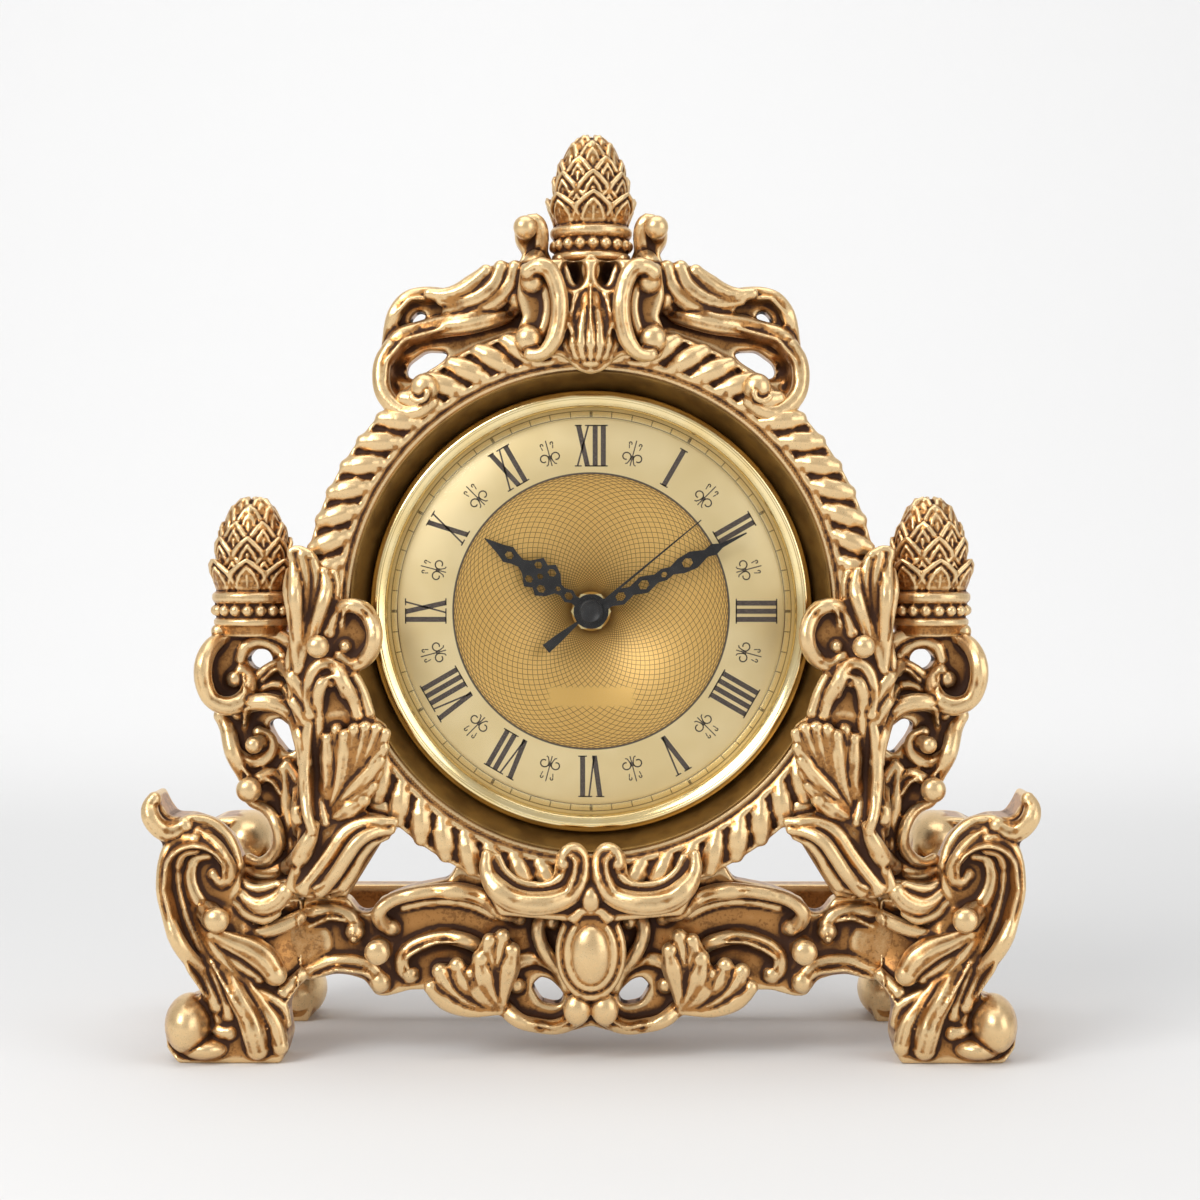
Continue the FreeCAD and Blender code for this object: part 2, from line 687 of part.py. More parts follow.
def strand(clock_angle, lean):
    """One strand of the rope, a hipped ridge leaning across the border."""
    pitch = math.tau / number(mm.rope_strands)
    radius = number(mm.ring_radius)
    inner, outer = radius * ROPE_INNER_SHARE, radius * ROPE_OUTER_SHARE
    low = number(mm.rope_seat_rise - mm.ridge_root / 2)
    high = number(mm.rope_seat_rise + mm.rope_rise)
    inset = (outer - inner) * HIP_SHARE
    loops = []
    for radius, toward, keel_shift in ((inner, -1, inset), (outer, 1, -inset)):
        loop = []
        for reach, level, shift in ((1, low, 0), (0, high, keel_shift), (-1, low, 0)):
            turn = clock_angle + pitch * (lean * toward + STRAND_SHARE * reach)
            far = radius + shift
            loop.append((far * math.sin(turn), -level, far * math.cos(turn)))
        loops.append(loop)
    return faceted(loops)


def make_dial_ring():
    seat = mm.rope_seat_rise
    ring = lathed([
        (ring_bore_radius, 0),
        (mm.ring_radius, 0),
        (mm.ring_radius, seat),
        (mm.ring_radius * LIP_OUTER_SHARE, seat),
        (mm.ring_radius * ((LIP_OUTER_SHARE + LIP_INNER_SHARE) / 2), lip_rise),
        (mm.ring_radius * LIP_INNER_SHARE, lip_rise - mm.ridge_root / 2),
        (ring_bore_radius, mm.cove_rise),
    ])
    count = int(number(mm.rope_strands))
    strands = []
    for k in range(count):
        clock_angle = math.tau * (k + 0.5) / count
        lean = LEAN_SHARE if clock_angle < math.pi else -LEAN_SHARE
        degrees = math.degrees(min(clock_angle, math.tau - clock_angle))
        if any(first < degrees < last for first, last in BARE_SPANS):
            strands.append(strand(clock_angle, lean))
    add_turned("dial_ring", ring.multiFuse(strands))


# Drum, rear cover, bezel, lens and dial

lens_front = mm.bezel_rise - mm.bezel_lip
dial_front = lens_front - mm.lens_thick - mm.lens_gap
dial_back = dial_front - mm.dial_thick
BACK = -mm.casting_back
LENS_FACE_SHARE = 0.9
SCREWS = 3
SCREW_SIDES = 8
SCREW_TURN_SHARE = 0.25


def make_drum():
    bore = drum_radius - mm.drum_wall
    back = -mm.drum_depth
    tube = [(bore, 0), (drum_radius, 0), (drum_radius, back), (bore, back)]
    add_turned("drum", lathed(tube))


def make_rear_cover():
    near, far = -mm.drum_depth, -(mm.drum_depth + mm.cover_thick)
    disc = lathed([(0, near), (drum_radius, near), (drum_radius, far), (0, far)])
    side = number(case_side + mm.window_gap * 2)
    corner = Vector(-side / 2, -number(near), -side / 2)
    window = Part.makeBox(side, number(mm.cover_thick), side, corner)
    add_turned("rear_cover", disc.cut(window))


def make_cover_screws():
    """The three screws that hold the rear cover to the drum."""
    radius = drum_radius - mm.drum_wall / 2
    heads = []
    for k in range(SCREWS):
        angle = math.tau * (k / SCREWS + SCREW_TURN_SHARE)
        x, z = number(radius) * math.cos(angle), number(radius) * math.sin(angle)
        start = Vector(x, number(mm.drum_depth + mm.cover_thick), z)
        loop = []
        for i in range(SCREW_SIDES):
            turn = math.tau * i / SCREW_SIDES
            spoke = Vector(math.cos(turn), 0, math.sin(turn)) * number(mm.screw_radius)
            loop.append(start + spoke)
        face = Part.Face(Part.makePolygon(loop + loop[:1]))
        heads.append(face.extrude(Vector(0, number(mm.screw_head), 0)))
    add_turned("rear_cover_screws", Part.makeCompound(heads))


def make_bezel():
    rim = ring_bore_radius - mm.bezel_fit
    add_turned("bezel", lathed([
        (bezel_seat_radius, 0),
        (rim, 0),
        (rim, mm.cove_rise),
        ((rim + bezel_edge_radius) / 2, mm.bezel_rise),
        (bezel_edge_radius, lens_front),
        (bezel_seat_radius, lens_front),
    ]))


def make_lens():
    """A pressed lens: a skirt that stands on the dial, a bevel and a raised face."""
    rim = bezel_seat_radius - mm.bezel_fit
    edge = bezel_edge_radius - mm.bezel_fit
    face = edge * LENS_FACE_SHARE
    inside = lens_front - mm.lens_thick
    add_turned("lens", lathed([
        (rim, dial_front),
        (rim, lens_front),
        (edge, lens_front),
        (face, lens_front + mm.lens_dome),
        (0, lens_front + mm.lens_dome),
        (0, inside + mm.lens_dome),
        (face, inside + mm.lens_dome),
        (rim - mm.skirt_width, dial_front),
    ]))


def make_dial():
    bore = mm.bushing_radius + mm.bezel_fit
    edge = bezel_seat_radius - mm.bezel_fit
    disc = lathed([(0, dial_back), (edge, dial_back), (edge, dial_front), (0, dial_front)])
    hole = polygon(bore, BORE_SIDES, dial_front).extrude(Vector(0, number(mm.dial_thick), 0))
    add_turned("dial_plate", disc.cut(hole))


def polygon(radius, sides, level):
    """A regular face across the dial's axis, its flats at the given radius."""
    reach = number(radius) / math.cos(math.pi / sides)
    loop = []
    for k in range(sides):
        angle = math.tau * (k + 0.5) / sides
        loop.append(Vector(reach * math.sin(angle), -number(level), reach * math.cos(angle)))
    return Part.Face(Part.makePolygon(loop + loop[:1]))


# Hands. Each is a pierced sheet: its half outline and its holes are given as shares
# of its reach, along the hand and across it.

bushing_front = dial_front + mm.nut_thick + mm.hand_gap / 2
hour_back = bushing_front + mm.hand_gap
minute_back = hour_back + mm.hand_thick + mm.hand_gap
second_back = minute_back + mm.hand_thick + mm.hand_gap

HOUR_SHARES = [
    (0.06, 0.05), (0.16, 0.032), (0.21, 0.056), (0.27, 0.034), (0.31, 0.044), (0.36, 0.105),
    (0.43, 0.145), (0.48, 0.105), (0.54, 0.135), (0.61, 0.06), (0.66, 0.034), (0.72, 0.046),
    (0.78, 0.07), (0.86, 0.04), (1.0, 0.004),
]
HOUR_HOLE_SHARES = [
    (0.21, 0, 0.03), (0.31, 0, 0.018), (0.42, 0.075, 0.03), (0.42, -0.075, 0.03),
    (0.54, 0.065, 0.028), (0.54, -0.065, 0.028), (0.48, 0, 0.022), (0.77, 0, 0.03),
]
MINUTE_SHARES = [
    (0.04, 0.045), (0.12, 0.028), (0.19, 0.05), (0.26, 0.026), (0.34, 0.052), (0.42, 0.026),
    (0.47, 0.036), (0.52, 0.024), (0.58, 0.046), (0.66, 0.052), (0.74, 0.022), (0.79, 0.034),
    (0.84, 0.014), (1.0, 0.004),
]
MINUTE_HOLE_SHARES = [
    (0.19, 0, 0.026), (0.34, 0, 0.028), (0.47, 0, 0.016), (0.62, 0, 0.028),
]
SECOND_SHARES = [
    (-0.41, 0.036), (-0.3, 0.03), (-0.12, 0.01), (0.2, 0.009), (1.0, 0.004),
]
OVAL_SHARE = 1.2
HOLE_SIDES = 6
BORE_SIDES = 12
HUB_SIDES = 24


def hand(shares, holes, reach, hub, back, bore=None):
    """A pierced hand pointing at twelve, with its boss and the bore for what passes through."""
    length = number(reach)

    def flat(points):
        loop = [Vector(across * length, -number(back), along * length) for along, across in points]
        return Part.Face(Part.makePolygon(loop + loop[:1]))

    left = [(along, -across) for along, across in reversed(shares)]
    face = flat(shares + left)
    for along, across, radius in holes:
        ring = []
        for k in range(HOLE_SIDES):
            angle = math.tau * (k + 0.5) / HOLE_SIDES
            spot = (along + OVAL_SHARE * radius * math.cos(angle), across + radius * math.sin(angle))
            ring.append(spot)
        face = face.cut(flat(ring))
    thick = Vector(0, -number(mm.hand_thick), 0)
    blade = face.extrude(thick).fuse(polygon(hub, HUB_SIDES, back).extrude(thick))
    if bore:
        blade = blade.cut(polygon(bore + mm.arbor_fit, BORE_SIDES, back).extrude(thick))
    return blade.removeSplitter()


def add_hand(label, shape, clock_angle):
    piece = add_turned(label, shape)
    piece.Placement.Rotation = FreeCAD.Rotation(Vector(0, 1, 0), number(clock_angle))
    piece.setExpression("Placement.Rotation.Angle", clock_angle.text)


def make_hands():
    hour = hand(HOUR_SHARES, HOUR_HOLE_SHARES, mm.ring_radius * HOUR_REACH_SHARE, mm.hour_hub, hour_back,
                mm.minute_tube_radius)
    add_hand("hour_hand", hour, mm.hour_clock_angle)
    minute = hand(MINUTE_SHARES, MINUTE_HOLE_SHARES, mm.ring_radius * MINUTE_REACH_SHARE, mm.minute_hub,
                  minute_back, mm.second_arbor_radius)
    add_hand("minute_hand", minute, mm.minute_clock_angle)
    second = hand(SECOND_SHARES, [], mm.ring_radius * SECOND_REACH_SHARE, mm.cap_radius, second_back)
    front = second_back + mm.hand_thick
    cap = polygon(mm.cap_radius, HUB_SIDES, front).extrude(Vector(0, -number(mm.cap_thick), 0))
    add_hand("second_hand", second.fuse(cap).removeSplitter(), mm.second_clock_angle)


# Movement: its case, its motion work and its battery

BAR_SIDES = 20

CANNON_TEETH = 12
MINUTE_WHEEL_TEETH = 36
SETTING_PINION_TEETH = 10
HOUR_WHEEL_TEETH = 40
SECOND_WHEEL_TEETH = 24
TIP_SHARE = 0.8
ROOT_SHARE = 1.25
LAND_SHARE = 0.06
GAP_SHARE = 0.5

battery_room = mm.contact_thick + mm.battery_fit + mm.case_wall + mm.case_end_room
case_side = mm.battery_body + mm.button_length + battery_room * 2
case_depth = (mm.battery_radius + mm.battery_fit) * 2 + mm.bay_room + mm.case_wall
case_front = dial_back
case_back = case_front - case_depth
case_seam = case_front - mm.case_front_depth
wall_inside = case_front - mm.case_wall
hour_wheel_front = wall_inside - mm.level_gap
cannon_front = hour_wheel_front - mm.wheel_thick - mm.level_gap
setting_wheel_front = cannon_front - mm.level_gap
floor_inside = case_back + mm.case_wall
bay_half = mm.battery_body / 2 + mm.button_length / 2 + mm.contact_thick + mm.battery_fit
bay_bottom = mm.case_wall - case_side / 2
bay_top = bay_bottom + (mm.battery_radius + mm.battery_fit) * 2
battery_axis = bay_bottom + mm.battery_radius + mm.battery_fit
battery_rise = case_back + mm.battery_radius + mm.battery_fit * 2


def gear(teeth, module, rise, thick, turn=0.0, middle=Vector()):
    """A spur wheel with straight flanks, its front face at the given rise."""
    pitch_radius = teeth * module / 2
    tip = pitch_radius + TIP_SHARE * module
    base = pitch_radius - ROOT_SHARE * module
    pitch = math.tau / teeth
    corners = []
    for k in range(teeth):
        for radius, share in ((tip, -LAND_SHARE), (tip, LAND_SHARE), (base, GAP_SHARE)):
            angle = pitch * (k + share) + turn
            spot = Vector(radius * math.sin(angle), -number(rise), radius * math.cos(angle))
            corners.append(spot + middle)
    face = Part.Face(Part.makePolygon(corners + corners[:1]))
    return face.extrude(Vector(0, number(thick), 0))


def rod(radius, front, back, middle=Vector()):
    """A round rod between two rises."""
    start = middle + Vector(0, -number(front), 0)
    length = number(front) - number(back)
    return Part.makeCylinder(number(radius), length, start, Vector(0, 1, 0))


def make_motion_work():
    distance = number(mm.setting_distance)
    fast = 2 * distance / (CANNON_TEETH + MINUTE_WHEEL_TEETH)
    slow = 2 * distance / (SETTING_PINION_TEETH + HOUR_WHEEL_TEETH)
    side = Vector(distance, 0, 0)
    quarter = math.pi / 2
    tube_bore = mm.minute_tube_radius + mm.arbor_fit
    wheel = gear(HOUR_WHEEL_TEETH, slow, hour_wheel_front, mm.wheel_thick, quarter)
    tube = rod(mm.hour_tube_radius, hour_back, hour_wheel_front)
    bore = rod(tube_bore, hour_back, hour_wheel_front - mm.wheel_thick)
    add_turned("hour_wheel", wheel.fuse(tube).cut(bore))
    pinion = gear(CANNON_TEETH, fast, cannon_front, mm.pinion_thick, quarter)
    tube = rod(mm.minute_tube_radius, minute_back, cannon_front)
    bore = rod(mm.second_arbor_radius + mm.arbor_fit, minute_back, cannon_front - mm.pinion_thick)
    add_turned("cannon_pinion", pinion.fuse(tube).cut(bore))
    facing = -quarter + math.pi / MINUTE_WHEEL_TEETH
    wheel = gear(MINUTE_WHEEL_TEETH, fast, setting_wheel_front, mm.wheel_thick, facing)
    facing = -quarter + math.pi / SETTING_PINION_TEETH
    pinion = gear(SETTING_PINION_TEETH, slow, hour_wheel_front, mm.wheel_thick + mm.level_gap * 2,
                  facing)
    shaft = rod(mm.setting_shaft_radius, setting_wheel_front - mm.wheel_thick,
                case_back - mm.level_gap)
    setting = wheel.fuse([pinion, shaft]).removeSplitter()
    setting.translate(side)
    add_turned("setting_wheel", setting)
    knob = polygon(mm.knob_radius, HUB_SIDES, case_back - mm.level_gap)
    knob = knob.extrude(Vector(0, number(mm.knob_thick), 0))
    knob.translate(side)
    add_turned("set_knob", knob)
    module = 2 * number(mm.second_wheel_radius) / SECOND_WHEEL_TEETH
    front = case_seam - mm.level_gap
    wheel = gear(SECOND_WHEEL_TEETH, module, front, mm.wheel_thick)
    arbor = rod(mm.second_arbor_radius, second_back, floor_inside)
    add_turned("second_wheel", wheel.fuse(arbor))


def make_case():
    half = case_side / 2
    inner = half - mm.case_wall
    square = (-half, -half, half, half)
    bay = (-bay_half, bay_bottom, bay_half, bay_top)
    room = (-inner, bay_top + mm.case_wall / 2, inner, inner)
    front = new_body("movement_front_case", y=BACK, z=dial_height)
    pad(front, "front_block", -case_front, mm.case_front_depth, box_outline, *square)
    neck = bushing_front - case_front
    pad(front, "front_bushing", -bushing_front, neck, circle, mm.bushing_radius)
    depth = mm.case_front_depth - mm.case_wall
    pocket(front, "front_room", -wall_inside, depth, box_outline, *room)
    pocket(front, "front_bay", -wall_inside, depth, box_outline, *bay)
    bore = mm.hour_tube_radius + mm.arbor_fit
    pocket(front, "front_bore", -bushing_front, neck + mm.case_wall, circle, bore)
    back = new_body("movement_back_case", y=BACK, z=dial_height)
    back_depth = case_depth - mm.case_front_depth
    pad(back, "back_block", -case_seam, back_depth, box_outline, *square)
    pocket(back, "back_room", -case_seam, back_depth - mm.case_wall, box_outline, *room)
    pocket(back, "back_bay", -case_seam, back_depth, box_outline, *bay)
    bore = mm.setting_shaft_radius + mm.arbor_fit
    pocket(back, "back_bore", -floor_inside, mm.case_wall, circle, bore, mm.setting_distance)


def make_nut():
    body = new_body("dial_nut", y=BACK, z=dial_height)
    half = mm.nut_width / 2
    point = half * (1 / math.cos(math.pi / 6))
    edge = point / 2
    corners = [(point, 0), (edge, half), (-edge, half), (-point, 0), (-edge, -half), (edge, -half)]
    front = dial_front + mm.nut_thick
    pad(body, "nut_block", -front, mm.nut_thick, outline, corners)
    pocket(body, "nut_bore", -front, mm.nut_thick, circle, mm.bushing_radius + mm.arbor_fit)


def round_bar(rows):
    """A bar along X in flat facets, through (place, radius) rows."""
    loops = []
    for place_along, radius in rows:
        loop = []
        for k in range(BAR_SIDES):
            angle = math.tau * k / BAR_SIDES
            reach = number(radius)
            loop.append((number(place_along), reach * math.cos(angle), reach * math.sin(angle)))
        loops.append(loop)
    return faceted(loops)


def make_battery():
    """A round cell with its button towards the right."""
    end = mm.battery_body / 2 - mm.button_length / 2
    start = end - mm.battery_body
    shoulder = mm.battery_radius - mm.button_length
    cell = round_bar([
        (start, shoulder), (start + mm.button_length / 2, mm.battery_radius),
        (end - mm.button_length / 2, mm.battery_radius), (end, mm.button_radius),
        (end + mm.button_length, mm.button_radius),
    ])
    piece = add_casting("battery", cell, mm.casting_back + battery_rise)
    place(piece, z=dial_height + battery_axis)


CONTACT_DEPTH_SHARE = 1.4
BOARD_LAP_SHARE = 0.7
STATOR_DROP_SHARE = 5
STATOR_LEG_SHARE = 0.8
STATOR_TOP_SHARE = 0.5


def make_contacts():
    """Two sheet contacts, one at each end of the battery bay."""
    height = mm.battery_radius
    depth = mm.battery_radius * CONTACT_DEPTH_SHARE
    for label, left in (
        ("battery_contact_positive", bay_half - mm.contact_thick),
        ("battery_contact_negative", -bay_half),
    ):
        body = new_body(label, y=BACK, z=dial_height)
        low = battery_axis - height / 2
        box = (left, low, left + mm.contact_thick, low + height)
        pad(body, label + "_sheet", -(battery_rise + depth / 2), depth, box_outline, *box)


def make_motor():
    """The circuit board, and the motor's stator and coil, on the case's walls."""
    inner = case_side / 2 - mm.case_wall
    board = new_body("circuit_board", y=BACK, z=dial_height)
    box = (-inner, inner - mm.coil_length * BOARD_LAP_SHARE, -mm.coil_radius, inner)
    pad(board, "board_sheet", -wall_inside, mm.board_thick, box_outline, *box)
    stator = new_body("motor_stator", y=BACK, z=dial_height)
    left = mm.coil_radius
    foot = inner - mm.coil_radius * STATOR_DROP_SHARE
    leg = mm.coil_radius * STATOR_LEG_SHARE
    right = left + mm.coil_length
    top = inner - mm.coil_radius * STATOR_TOP_SHARE
    corners = [
        (left, foot), (left + leg, foot), (left + leg, top - leg * 2), (right - leg, top - leg * 2),
        (right - leg, foot), (right, foot), (right, top), (left, top),
    ]
    back = floor_inside + mm.stator_thick
    pad(stator, "stator_sheet", -back, mm.stator_thick, outline, corners)
    winding = round_bar([(left + leg, mm.coil_radius), (right - leg, mm.coil_radius)])
    coil = add_casting("motor_coil", winding, mm.casting_back + back + mm.coil_radius)
    place(coil, z=dial_height + top - leg)


make_crest()
make_brackets()
make_apron()
make_legs()
make_rails()
make_finials()
make_dial_ring()
make_drum()
make_rear_cover()
make_cover_screws()
make_bezel()
make_lens()
make_dial()
make_hands()
make_motion_work()
make_case()
make_nut()
make_battery()
make_contacts()
make_motor()
doc.recompute()

os.makedirs("parts", exist_ok=True)
for piece in doc.Objects:
    if "Invalid" in piece.State or "Error" in piece.State:
        raise RuntimeError(piece.Label + " can't be built")
    is_body = piece.TypeId == "PartDesign::Body"
    if not is_body and piece.TypeId != "Part::Feature":
        continue
    shape = piece.Shape
    if shape.isNull() or not shape.isValid():
        raise RuntimeError(piece.Label + " isn't a valid solid")
    shape.exportStep(f"parts/{piece.Label}.step")
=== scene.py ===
# %% [markdown]
# A rococo mantel clock of cast resin, finished in antique gold, with a round battery clock.
# The measured model gives the frame: every piece here rides on one of its bodies, and most
# of them stand for a plain CAD node. This first cell loads that frame.

# %% Load the measured model
import math

import bmesh
import bpy
import numpy as np
from mathutils import Matrix, Vector
from mathutils.bvhtree import BVHTree


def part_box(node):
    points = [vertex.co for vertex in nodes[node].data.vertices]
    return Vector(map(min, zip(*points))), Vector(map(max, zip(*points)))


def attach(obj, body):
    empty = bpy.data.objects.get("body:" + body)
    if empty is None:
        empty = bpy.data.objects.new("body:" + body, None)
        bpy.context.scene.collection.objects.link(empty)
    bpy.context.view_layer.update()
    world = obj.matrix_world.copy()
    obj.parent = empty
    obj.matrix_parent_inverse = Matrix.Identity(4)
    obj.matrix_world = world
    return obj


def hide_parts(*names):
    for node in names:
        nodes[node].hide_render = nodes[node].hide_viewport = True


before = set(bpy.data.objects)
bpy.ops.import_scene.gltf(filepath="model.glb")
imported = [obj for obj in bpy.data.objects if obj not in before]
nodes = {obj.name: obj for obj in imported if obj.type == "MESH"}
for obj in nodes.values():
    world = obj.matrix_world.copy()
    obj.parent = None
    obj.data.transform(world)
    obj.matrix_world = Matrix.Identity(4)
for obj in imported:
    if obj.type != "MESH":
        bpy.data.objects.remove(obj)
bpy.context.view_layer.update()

# %% [markdown]
# The castings are drawn in steps of 0.2857 mm from a point on the table under the dial.
# Across counts from the middle line at 591, and down counts from above, with the table at 1061.
# The front is -Y, so a depth is given as millimetres in front of the clock's middle.

# %% Lengths and places
MM = 0.001
STEP = 0.2857 * MM
MIDDLE_STEP = 591
TABLE_STEP = 1061
DIAL_CENTRE = 128.3 * MM


def at(across, down, front, side=1):
    """A point of the drawing: steps across and down, millimetres in front."""
    return Vector((side * (across - MIDDLE_STEP) * STEP, -front * MM, (TABLE_STEP - down) * STEP))


print("left edge of the drawing:", round(at(147, 0, 0).x / MM, 1), "mm")

# %% [markdown]
# The camera stands about 0.65 m in front, a little above the dial's middle and tipped down by
# one degree. A lens of 66 mm on a 36 mm film gives the same frame as the photograph.

# %% Camera
camera_data = bpy.data.cameras.new("photograph")
camera_data.lens = 65.6
camera_data.sensor_width = 36.0
camera = bpy.data.objects.new("photograph", camera_data)
bpy.context.scene.collection.objects.link(camera)
camera.location = (4.0 * MM, -655 * MM, 143.1 * MM)
camera.rotation_euler = (math.radians(90 - 1.05), 0, math.radians(0.13))
bpy.context.scene.camera = camera
print("camera stands at", [round(value, 3) for value in camera.location])

# %% [markdown]
# A finish such as worn gilding is a sum of noises and measures, which is hard to read as single
# Math nodes. So a Signal wraps one socket, and its operators add those nodes.

# %% Shader sums
class Signal:
    """One output socket of a finish, with arithmetic on values."""

    def __init__(self, finish, socket):
        self.finish = finish
        self.socket = socket

    def math(self, operation, *others, swap=False):
        values = [self, *others]
        if swap:
            values.reverse()
        return self.finish.node("Math", {"operation": operation}, dict(enumerate(values)))

    def __add__(self, other):
        return self.math("ADD", other)

    __radd__ = __add__

    def __sub__(self, other):
        return self.math("SUBTRACT", other)

    def __rsub__(self, other):
        return self.math("SUBTRACT", other, swap=True)

    def __mul__(self, other):
        return self.math("MULTIPLY", other)

    __rmul__ = __mul__

    def __truediv__(self, other):
        return self.math("DIVIDE", other)

    def __pow__(self, other):
        return self.math("POWER", other)

    def between(self, low, high):
        """0 at low and 1 at high, smooth in between."""
        settings = {"interpolation_type": "SMOOTHSTEP"}
        values = {"Value": self, "From Min": low, "From Max": high}
        return self.finish.node("MapRange", settings, values)


print("signals ready: they add, subtract, multiply, divide and ease")

# %% [markdown]
# A Finish holds the tree of one material. Its node() is the one way to add any other node: the
# node's settings are set first, and then the values or links of its sockets.

# %% Finishes
class Finish:
    """A material, and the tools to write its nodes."""

    def __init__(self, name):
        self.material = bpy.data.materials.new(name)
        self.material.use_nodes = True
        self.tree = self.material.node_tree
        self.tree.nodes.clear()

    def node(self, kind, settings=None, values=None, output=0):
        made = self.tree.nodes.new("ShaderNode" + kind)
        for name, value in (settings or {}).items():
            setattr(made, name, value)
        for name, value in (values or {}).items():
            self.feed(made.inputs[name], value)
        return Signal(self, made.outputs[output]) if made.outputs else made

    def feed(self, socket, value):
        if isinstance(value, Signal):
            self.tree.links.new(value.socket, socket)
        elif socket.type == "RGBA":
            socket.default_value = (*value, 1)
        else:
            socket.default_value = value

    def mix(self, share, first, second):
        settings = {"data_type": "RGBA"}
        values = {"Factor": share, 6: first, 7: second}
        return self.node("Mix", settings, values, output=2)

    def place(self):
        return self.node("TexCoord", output="Object")

    def axis(self, index):
        """One of the three object coordinates."""
        return self.node("SeparateXYZ", None, {0: self.place()}, output=index)

    def noise(self, scale, detail, rough):
        values = {"Vector": self.place(), "Scale": scale, "Detail": detail, "Roughness": rough}
        return self.node("TexNoise", None, values)

    def bump(self, height, distance, strength=1.0):
        values = {"Height": height, "Distance": distance, "Strength": strength}
        return self.node("Bump", None, values)

    def surface(self, **values):
        named = {name.replace("_", " "): value for name, value in values.items()}
        shader = self.node("BsdfPrincipled", None, named)
        self.node("OutputMaterial", None, {"Surface": shader})
        return self.material


print("finishes ready: noise, bump, mix and surface")

# %% [markdown]
# Colours are chosen as a screen shows them, and nodes take linear light, so srgb() turns the one
# into the other. Most paints and mouldings are two near tones with a fine grain in their gloss,
# which two_tone() makes.

# %% Colours and plain finishes
def srgb(red, green, blue):
    """A colour read off a screen, as the linear light that nodes take."""
    return tuple((value / 255 / 12.92) if value <= 10 else ((value / 255 + 0.055) / 1.055) ** 2.4
                 for value in (red, green, blue))


def two_tone(name, first, second, cloud, grain, rough, metal=0.0, depth=0.00004, strength=0.5):
    """A plain finish of two near colours. Cloud and grain are its noises, as (scale, detail,
    roughness), and rough is the surface's roughness with the grain's share in it."""
    finish = Finish(name)
    grain = finish.noise(*grain)
    colour = finish.mix(finish.noise(*cloud).between(0.35, 0.7), srgb(*first), srgb(*second))
    return finish.surface(Base_Color=colour, Roughness=rough[0] + (grain - 0.5) * rough[1],
                          Metallic=metal, Normal=finish.bump(grain, depth, strength))


print("antique gold in linear light:", [round(value, 3) for value in srgb(200, 150, 80)])

# %% [markdown]
# The room is a pale floor that runs up into a backdrop. The camera sees it a little lighter
# than it lights the clock, so the picture's ground is nearly white and still holds a shadow.

# %% Floor and backdrop
def link(thing):
    bpy.context.scene.collection.objects.link(thing)
    return thing


def pale_ground():
    finish = Finish("pale_ground")
    seen = finish.node("LightPath", output="Is Camera Ray")
    gloss = finish.node("LightPath", output="Is Glossy Ray")
    through = finish.node("LightPath", output="Is Transmission Ray")
    seen = seen.math("MAXIMUM", gloss).math("MAXIMUM", through)
    far = (finish.axis(2) * 5 + (finish.axis(1) - 0.15) * 1.2).between(0.0, 1.0)
    shade = finish.mix(far, srgb(227, 227, 227), srgb(246, 246, 246))
    matt = finish.node("BsdfDiffuse", None, {"Color": shade})
    lift = finish.mix(far, srgb(30, 30, 30), srgb(110, 110, 110))
    lifted = finish.node("AddShader", None, {
        0: finish.node("BsdfDiffuse", None, {"Color": shade}),
        1: finish.node("Emission", None, {"Color": lift, "Strength": 0.40}),
    })
    both = finish.node("MixShader", None, {0: seen, 1: matt, 2: lifted})
    finish.node("OutputMaterial", None, {"Surface": both})
    return finish.material


GROUND_HALF, GROUND_FRONT, GROUND_BEND, GROUND_BOW, GROUND_TOP = 1.6, -1.2, 0.55, 0.45, 2.2


def backdrop():
    """A floor strip swept up behind the clock in a quarter turn."""
    places = [(GROUND_FRONT, 0), (GROUND_BEND, 0)]
    for turn in [math.radians(9 * step) for step in range(1, 11)]:
        places.append((GROUND_BEND + GROUND_BOW * math.sin(turn),
                       GROUND_BOW - GROUND_BOW * math.cos(turn)))
    places.append((GROUND_BEND + GROUND_BOW, GROUND_TOP))
    shape = bmesh.new()
    row = [shape.verts.new((-GROUND_HALF, behind, height)) for behind, height in places]
    edges = [shape.edges.new(pair) for pair in zip(row, row[1:])]
    made = bmesh.ops.extrude_edge_only(shape, edges=edges)
    moved = [each for each in made["geom"] if isinstance(each, bmesh.types.BMVert)]
    bmesh.ops.translate(shape, verts=moved, vec=(2 * GROUND_HALF, 0, 0))
    bmesh.ops.recalc_face_normals(shape, faces=shape.faces)
    mesh = bpy.data.meshes.new("ground")
    shape.to_mesh(mesh)
    shape.free()
    mesh.polygons.foreach_set("use_smooth", [True] * len(mesh.polygons))
    ground = link(bpy.data.objects.new("ground", mesh))
    ground.data.materials.append(pale_ground())


backdrop()
print("floor and backdrop stand")

# %% [markdown]
# Soft light comes from a large lamp at the upper left, a weaker one on the right and one above.
# The world adds an even fill, so that hollows stay brown and don't turn black.

# %% Lamps and world
LAMPS = (("key", (-0.75, -0.85, 0.85), 0.12, (0.7, 0.7), 9.5),
         ("fill", (0.95, -0.7, 0.45), 0.12, (0.8, 0.9), 3.6),
         ("top", (0.0, -0.1, 1.1), 0.1, (1.0, 0.7), 4.0))
WORLD_STRENGTH = 0.50

for name, place, aim_height, size, watts in LAMPS:
    lamp_data = bpy.data.lights.new(name, "AREA")
    lamp_data.shape = "RECTANGLE"
    lamp_data.size, lamp_data.size_y = size
    lamp_data.energy = watts
    lamp = link(bpy.data.objects.new(name, lamp_data))
    lamp.location = place
    lamp.rotation_mode = "QUATERNION"
    lamp.rotation_quaternion = (Vector((0, 0, aim_height)) - Vector(place)).to_track_quat("-Z", "Y")

